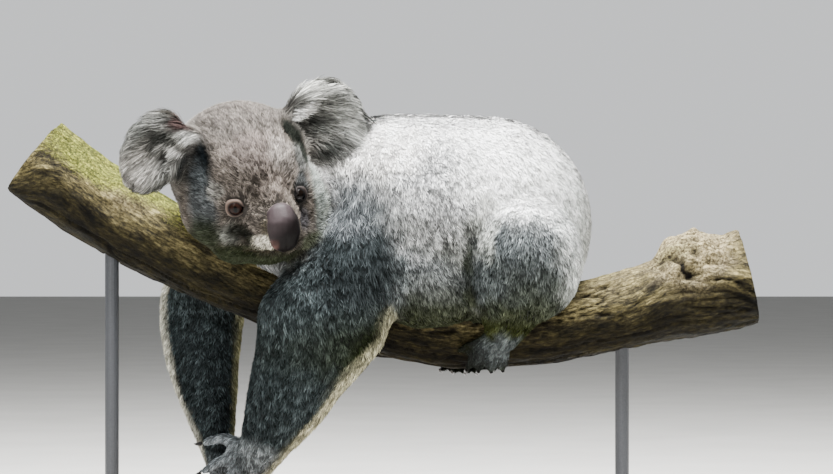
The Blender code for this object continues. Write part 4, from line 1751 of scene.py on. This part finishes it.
@dataclass
class Lids:
    """The lids of an eye: a soft rim that hugs the ball and sinks into the skin around it.

    Each row of the rim says how many degrees it lies beyond the opening, how many millimetres it stands proud
    of the ball, and its colour. The skin's rows follow, by their share of the way from the rim to far. The
    aims say, for the left and the right eye, how many degrees outward the lids open and how far down, and the
    gaps how many degrees each opening reaches sideways, up and down.
    """

    side: str
    anatomy: Anatomy
    segments: int = 72
    far: float = 128.0
    aims: tuple[tuple[float, float], ...] = ((17.0, -0.16), (22.0, 0.12))
    gaps: tuple[tuple[float, float, float], ...] = ((24.0, 44.0, 34.0), (56.0, 45.0, 55.0))
    slant: float = math.radians(-14)
    shaded: tuple[float, float, float] = (0.12, 0.125, 0.135)
    rim: tuple[tuple[float, float, str], ...] = (
        (-4.0, -0.15, "#070403"),
        (0.0, 0.20, "#120c0a"),
        (2.5, 0.6, "#3d322c"),
        (6.0, 1.0, "#574a43"),
        (10.5, 1.1, "#4b3f38"),
        (13.5, 0.7, "#0f0c0a"),
    )
    skin: tuple[tuple[float, float], ...] = (
        (0.12, 0.8), (0.35, 0.2), (0.60, -0.8), (0.80, -2.4), (1.00, -5.0)
    )
    skin_colour: str = "#2b2621"

    def opening(self, turn: np.ndarray) -> np.ndarray:
        """How far from the gaze the lids part, in degrees, by direction round it.

        The eyes are almond shaped, with the inner corner drawn out and down; the left one is half shut.

        Args:
            turn: directions round the gaze, in radians.

        Returns:
            One angle a direction.
        """
        inward = (turn if self.side == "right" else math.pi - turn) - self.slant
        wide, high, low = self.gaps[SIDES.index(self.side)]
        tall = np.where(np.sin(inward) > 0, high, low)
        bend = 2 - 0.6 * ramp(np.cos(inward), 0.0, 0.5)
        across, up = np.abs(np.cos(inward)) / wide, np.abs(np.sin(inward)) / tall
        return (across**bend + up**bend) ** (-1 / bend) + 15 * ramp(np.cos(inward), 0.8, 1.0) ** 1.5

    def outward(self, turn: np.ndarray) -> np.ndarray:
        """How far each direction points to the outer corner, from -1 to 1."""
        return np.cos(turn) * (1 if self.side == "left" else -1)

    def thickness(self, turn: np.ndarray) -> np.ndarray:
        """How broad the lid is round the opening: heaviest above and at the outer corner."""
        return 1 + 0.9 * ramp(self.outward(turn), 0.0, 0.9) + 0.8 * ramp(np.sin(turn), 0.1, 0.9)

    def tint(self, turn: np.ndarray) -> np.ndarray:
        """How the lid's colour is shaded round the opening: it darkens below, and on the shaded left eye."""
        shade = 0.42 + 0.58 * ramp(self.outward(turn) + 0.8 * np.sin(turn), -0.6, 0.7)
        return shade[:, None] * np.array(self.shaded if self.side == "left" else (1.0, 1.0, 1.0))

    def shape(self) -> tuple[np.ndarray, np.ndarray, np.ndarray]:
        """Works out the lids' mesh.

        Returns:
            Points, triangles and colours.
        """
        node = f"eye_{self.side}"
        aim, drop = self.aims[SIDES.index(self.side)]
        axes, size = Eye(self.side, self.anatomy, turn=math.radians(aim), drop=drop).gaze(), radius(node)
        turn = np.linspace(0, 2 * math.pi, self.segments, endpoint=False)
        opening, broad, tint = self.opening(turn), self.thickness(turn), self.tint(turn)
        rows = [(opening + beyond * broad, proud * broad**0.9, colour) for beyond, proud, colour in self.rim]
        edge = rows[-1][0]
        rows += [(edge + (self.far - edge) * share, proud, self.skin_colour) for share, proud in self.skin]
        points, colours = [], []
        for degrees, proud_mm, colour in rows:
            angle = np.radians(degrees)
            around = np.sin(angle)
            local = np.stack([np.cos(angle), around * np.cos(turn), around * np.sin(turn)], axis=1)
            reach = size + np.broadcast_to(proud_mm, self.segments)[:, None] * MM
            points.append(local * reach @ axes + middle(node))
            colours.append(rgb(colour) * tint)
        triangles = []
        for r in range(len(rows) - 1):
            for s in range(self.segments):
                a, b = r * self.segments + s, r * self.segments + (s + 1) % self.segments
                triangles += [(a, a + self.segments, b), (b, a + self.segments, b + self.segments)]
        return np.concatenate(points), np.array(triangles), np.concatenate(colours)


@dataclass
class NosePad:
    """The koala's big bare nose pad."""

    anatomy: Anatomy
    voxel_mm: float = 0.9
    nostril_mm: float = 4.0
    groove_mm: float = 0.9

    def dress(self) -> bpy.types.Object:
        """Makes the nose pad with its nostrils.

        Returns:
            The nose pad.
        """
        obj = moulded("nose_pad", ["nose"], 0.6, self.voxel_mm, 14)
        points = vertices_of(obj)
        forward, local = self.anatomy.head.axes[0], self.anatomy.head.local_mm(points)
        nostril_shade = np.zeros(len(points))
        for side in (-1, 1):
            d = np.linalg.norm((local - (26, 9.5 * side, -35)) / (12, 3.4, 5.5), axis=1)
            points -= forward * (ramp(d, 1.2, 0.2) * self.nostril_mm * MM)[:, None]
            nostril_shade = np.maximum(nostril_shade, ramp(d, 1.3, 0.5))
        groove = ramp(np.abs(local[:, 1]), 2.0, 0.0) * ramp(local[:, 2], -20, -40)
        put_vertices(obj, points - forward * (groove * self.groove_mm * MM)[:, None])
        # The pad is painted lighter towards its top on the koala's right, a painted highlight, and near black
        # lower down and towards its left, painted shade.
        colour = tinted(rgb("#060404")[None], "#282223", ramp(local[:, 2] - local[:, 1] * 0.9, -30, -4))
        colour = tinted(colour, "#724e47", 0.7 * ramp(local[:, 2], -30, -40) * ramp(local[:, 1], -6, -13))
        # The nostrils are painted near black, as painted shade inside them.
        paint(obj, MARKINGS, colour * (1 - 0.85 * nostril_shade[:, None]))
        return finished(obj, Slot.SKIN, NoseFinish().material("nose_leather"), "nose")


@dataclass
class Claws:
    """The claws, each its own piece."""

    def dress(self) -> None:
        """Smooths each claw and shades it towards its point."""
        material = ClawFinish().material("claw_horn")
        for node in sorted(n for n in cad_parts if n.startswith("claw_")):
            obj = moulded(node + "_horn", [node], 0.15, 0.55, 3)
            points = vertices_of(obj)
            limb = "hand" if "hand" in node else "foot"
            side = "left" if "left" in node else "right"
            away = np.linalg.norm(points - vertices_of(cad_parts[f"{limb}_{side}"]).mean(0), axis=1)
            paint(obj, "point", ramp(away, away.min(), away.max()))
            finished(obj, Slot.CLAW, material, node)


# ---------------------------------------------------------------- perch and stand


@dataclass
class Perch:
    """The cut length of branch, with its bark, burls, cracks and moss."""

    voxel_mm: float = 2.4
    stations: int = 40
    girth: float = 0.042
    ridge_mm: float = 2.2
    plate_mm: float = 3.0
    fissure_mm: float = 3.4
    burl_mm: float = 9.0
    burls: tuple[tuple[tuple[float, float, float], float], ...] = (
        ((332, -10, 312), 44),
        ((-236, -8, 372), 32),
    )

    def along_limb(self, points: np.ndarray) -> tuple[np.ndarray, np.ndarray]:
        """Where each point is on the limb.

        Args:
            points: places on the branch.

        Returns:
            How far along the limb each is, and which way is out from the limb's middle, of length 1.
        """
        low, high = points[:, 0].min(), points[:, 0].max()
        at = np.linspace(low, high, self.stations)
        width = (high - low) / self.stations
        centre = np.array([points[np.abs(points[:, 0] - x) < width].mean(0)[1:] for x in at])
        slope = np.concatenate([[0], np.cumsum(np.hypot(np.diff(at), np.diff(centre[:, 1])))])
        y = points[:, 1] - np.interp(points[:, 0], at, centre[:, 0])
        z = points[:, 2] - np.interp(points[:, 0], at, centre[:, 1])
        return np.interp(points[:, 0], at, slope), unit(np.stack([0 * y, y, z], axis=1))

    def dress(self) -> bpy.types.Object:
        """Makes the branch.

        Returns:
            The branch.
        """
        obj = moulded("branch", ["perch_branch"], 0.4, self.voxel_mm, 3)
        points = vertices_of(obj)
        along, out = self.along_limb(points)
        ring = out[:, 1:] * self.girth
        grain = np.stack([along * 0.34, ring[:, 0], ring[:, 1]], axis=1)
        end = np.minimum(points[:, 0] - points[:, 0].min(), points[:, 0].max() - points[:, 0])
        side = ramp(end, 1.5 * MM, 5 * MM)
        ridges = clouds(grain, 4.0, 11) - 0.5
        plates = clouds(grain, 13, 12) - 0.5
        drawn = np.stack([along * 0.12, ring[:, 0], ring[:, 1]], axis=1)
        fissure = ramp(np.abs(clouds(drawn, 9, 13) - 0.5), 0.06, 0.0)
        fissure *= ramp(clouds(drawn, 30, 14), 0.42, 0.55)
        lumps = clouds(points, 11, 15)
        burl = np.zeros(len(points))
        for centre, size in self.burls:
            burl += ramp(np.linalg.norm((points / MM - np.array(centre)) / size, axis=1), 1.3, 0.7)
        burl = np.clip(burl, 0, 1)
        height = ridges * self.ridge_mm + plates * self.plate_mm - fissure * self.fissure_mm
        height += burl * (lumps - 0.5) * self.burl_mm
        points += out * (height * side * MM)[:, None]
        put_vertices(obj, points)
        layer = obj.data.attributes.new("grain", "FLOAT_VECTOR", "POINT")
        layer.data.foreach_set("vector", grain.astype(np.float32).ravel())
        x, up = points[:, 0], out[:, 2]
        growth = (0.35 + 0.65 * ramp(x, 0.05, -0.2)) * (0.5 + clouds(points, 40, 16))
        # The upper side of the limb's right end is painted paler: painted light, added to the pale lichen on
        # the burls.
        lit = 0.22 * ramp(up, 0.2, 1.0) * ramp(x, -0.1, 0.25)
        paint(obj, "moss", np.clip(ramp(up, -0.1, 0.9) * growth, 0, 1))
        paint(obj, "pale", np.clip(burl * 0.6 + lit, 0, 1))
        # The underside is painted darker, as painted shade.
        paint(obj, "damp", 0.9 * ramp(up, 0.35, -0.5) * (1 - 0.5 * burl))
        # The fissures and the cracks between the burl's lumps are painted near black, as painted shade in
        # them.
        paint(obj, "crack", np.clip(fissure * 0.9 + ramp(lumps, 0.35, 0.2) * burl * 0.6, 0, 1) * side)
        return finished(obj, Slot.BARK, BarkFinish().material("weathered_bark"), "perch_branch")


@dataclass
class Stand:
    """The display stand, whose solids keep their own shapes."""

    def dress(self) -> None:
        """Gives the base and the rods their finishes."""
        wood = StainedWood().material("stained_hardwood")
        steel = CoatedSteel().material("powder_coated_steel")
        for node, material in (("stand_base", wood), ("stand_rod_head", steel), ("stand_rod_rump", steel)):
            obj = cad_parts[node]
            obj.data.materials.clear()
            obj.data.materials.append(material)
            log.info("%s dressed", node)


# ---------------------------------------------------------------- studio


@dataclass
class Studio:
    """Floor, light and camera. The room is dimmer in front than the backdrop behind, as in a real studio.

    Each lamp is its name, its place, the length of its side and its power in watts.
    """

    floor_size: float = 30.0
    distance: float = 3.2
    frame_width: float = 0.833
    sensor_mm: float = 36.0
    eye_level: float = 0.338
    aim_x: float = 0.0565
    fill: float = 0.22
    backdrop: float = 1.0
    lamps: tuple[tuple[str, tuple[float, float, float], float, float], ...] = (
        ("key", (-0.9, -1.2, 2.3), 1.0, 45),
        ("catch", (-1.3, -1.9, 1.5), 0.22, 60),
        ("top", (0.15, -0.35, 2.2), 0.9, 560),
    )

    def build(self) -> None:
        """Sets up the studio."""
        half = self.floor_size / 2
        corners = np.array([(-half, -half, 0), (half, -half, 0), (half, half, 0), (-half, half, 0)])
        floor = mesh_object("floor", corners, np.array([(0, 1, 2, 3)]))
        floor.data.materials.append(StudioFloor().material("studio_floor"))
        for lamp in self.lamps:
            self.light(*lamp)
        self.surround()
        self.aim_camera()

    def surround(self) -> None:
        """Makes the plain light all round, dimmer in front of the koala than behind it."""
        world = bpy.data.worlds.new("studio")
        world.use_nodes = True
        tree = world.node_tree
        way = add_node(tree, "SeparateXYZ", {"Vector": add_node(tree, "TexCoord").outputs["Generated"]})
        glow = add_node(tree, "MapRange", {"Value": way.outputs["Y"], "From Min": 0.3, "From Max": 0.8,
                                           "To Min": self.fill, "To Max": self.backdrop})
        background = tree.nodes["Background"]
        background.inputs["Color"].default_value = linear("#eceef0")
        tree.links.new(glow.outputs["Result"], background.inputs["Strength"])
        bpy.context.scene.world = world

    def aim_camera(self) -> None:
        """Adds the camera, which looks level along y."""
        camera = bpy.data.cameras.new("camera")
        camera.sensor_width = self.sensor_mm
        camera.lens = self.sensor_mm * self.distance / self.frame_width
        holder = bpy.data.objects.new("camera", camera)
        holder.location = (self.aim_x, -self.distance, self.eye_level)
        holder.rotation_euler = (math.radians(90), 0, 0)
        bpy.context.scene.collection.objects.link(holder)
        bpy.context.scene.camera = holder

    def light(self, name: str, place: tuple[float, float, float], size: float, power: float) -> None:
        """Adds a square soft light that points at the koala.

        Args:
            name: the light's name.
            place: where it hangs.
            size: its side.
            power: its power in watts.
        """
        data = bpy.data.lights.new(name, "AREA")
        data.size = size
        data.energy = power
        made = bpy.data.objects.new(name, data)
        made.location = place
        aim = Vector((self.aim_x, 0, self.eye_level)) - made.location
        made.rotation_euler = aim.to_track_quat("-Z", "Y").to_euler()
        bpy.context.scene.collection.objects.link(made)


def main() -> None:
    """Builds and dresses each part of the model in turn."""
    logging.basicConfig(level=logging.INFO, format="%(message)s", stream=sys.stdout)
    anatomy = Anatomy()
    markings = Markings(anatomy)
    hide = Hide(anatomy, markings)
    hide.build()
    hide.dress()
    Coat(hide).dress()
    for side in SIDES:
        Eye(side, anatomy).dress()
    NosePad(anatomy).dress()
    Claws().dress()
    Perch().dress()
    Stand().dress()
    Studio().build()


if __name__ == "__main__":
    main()
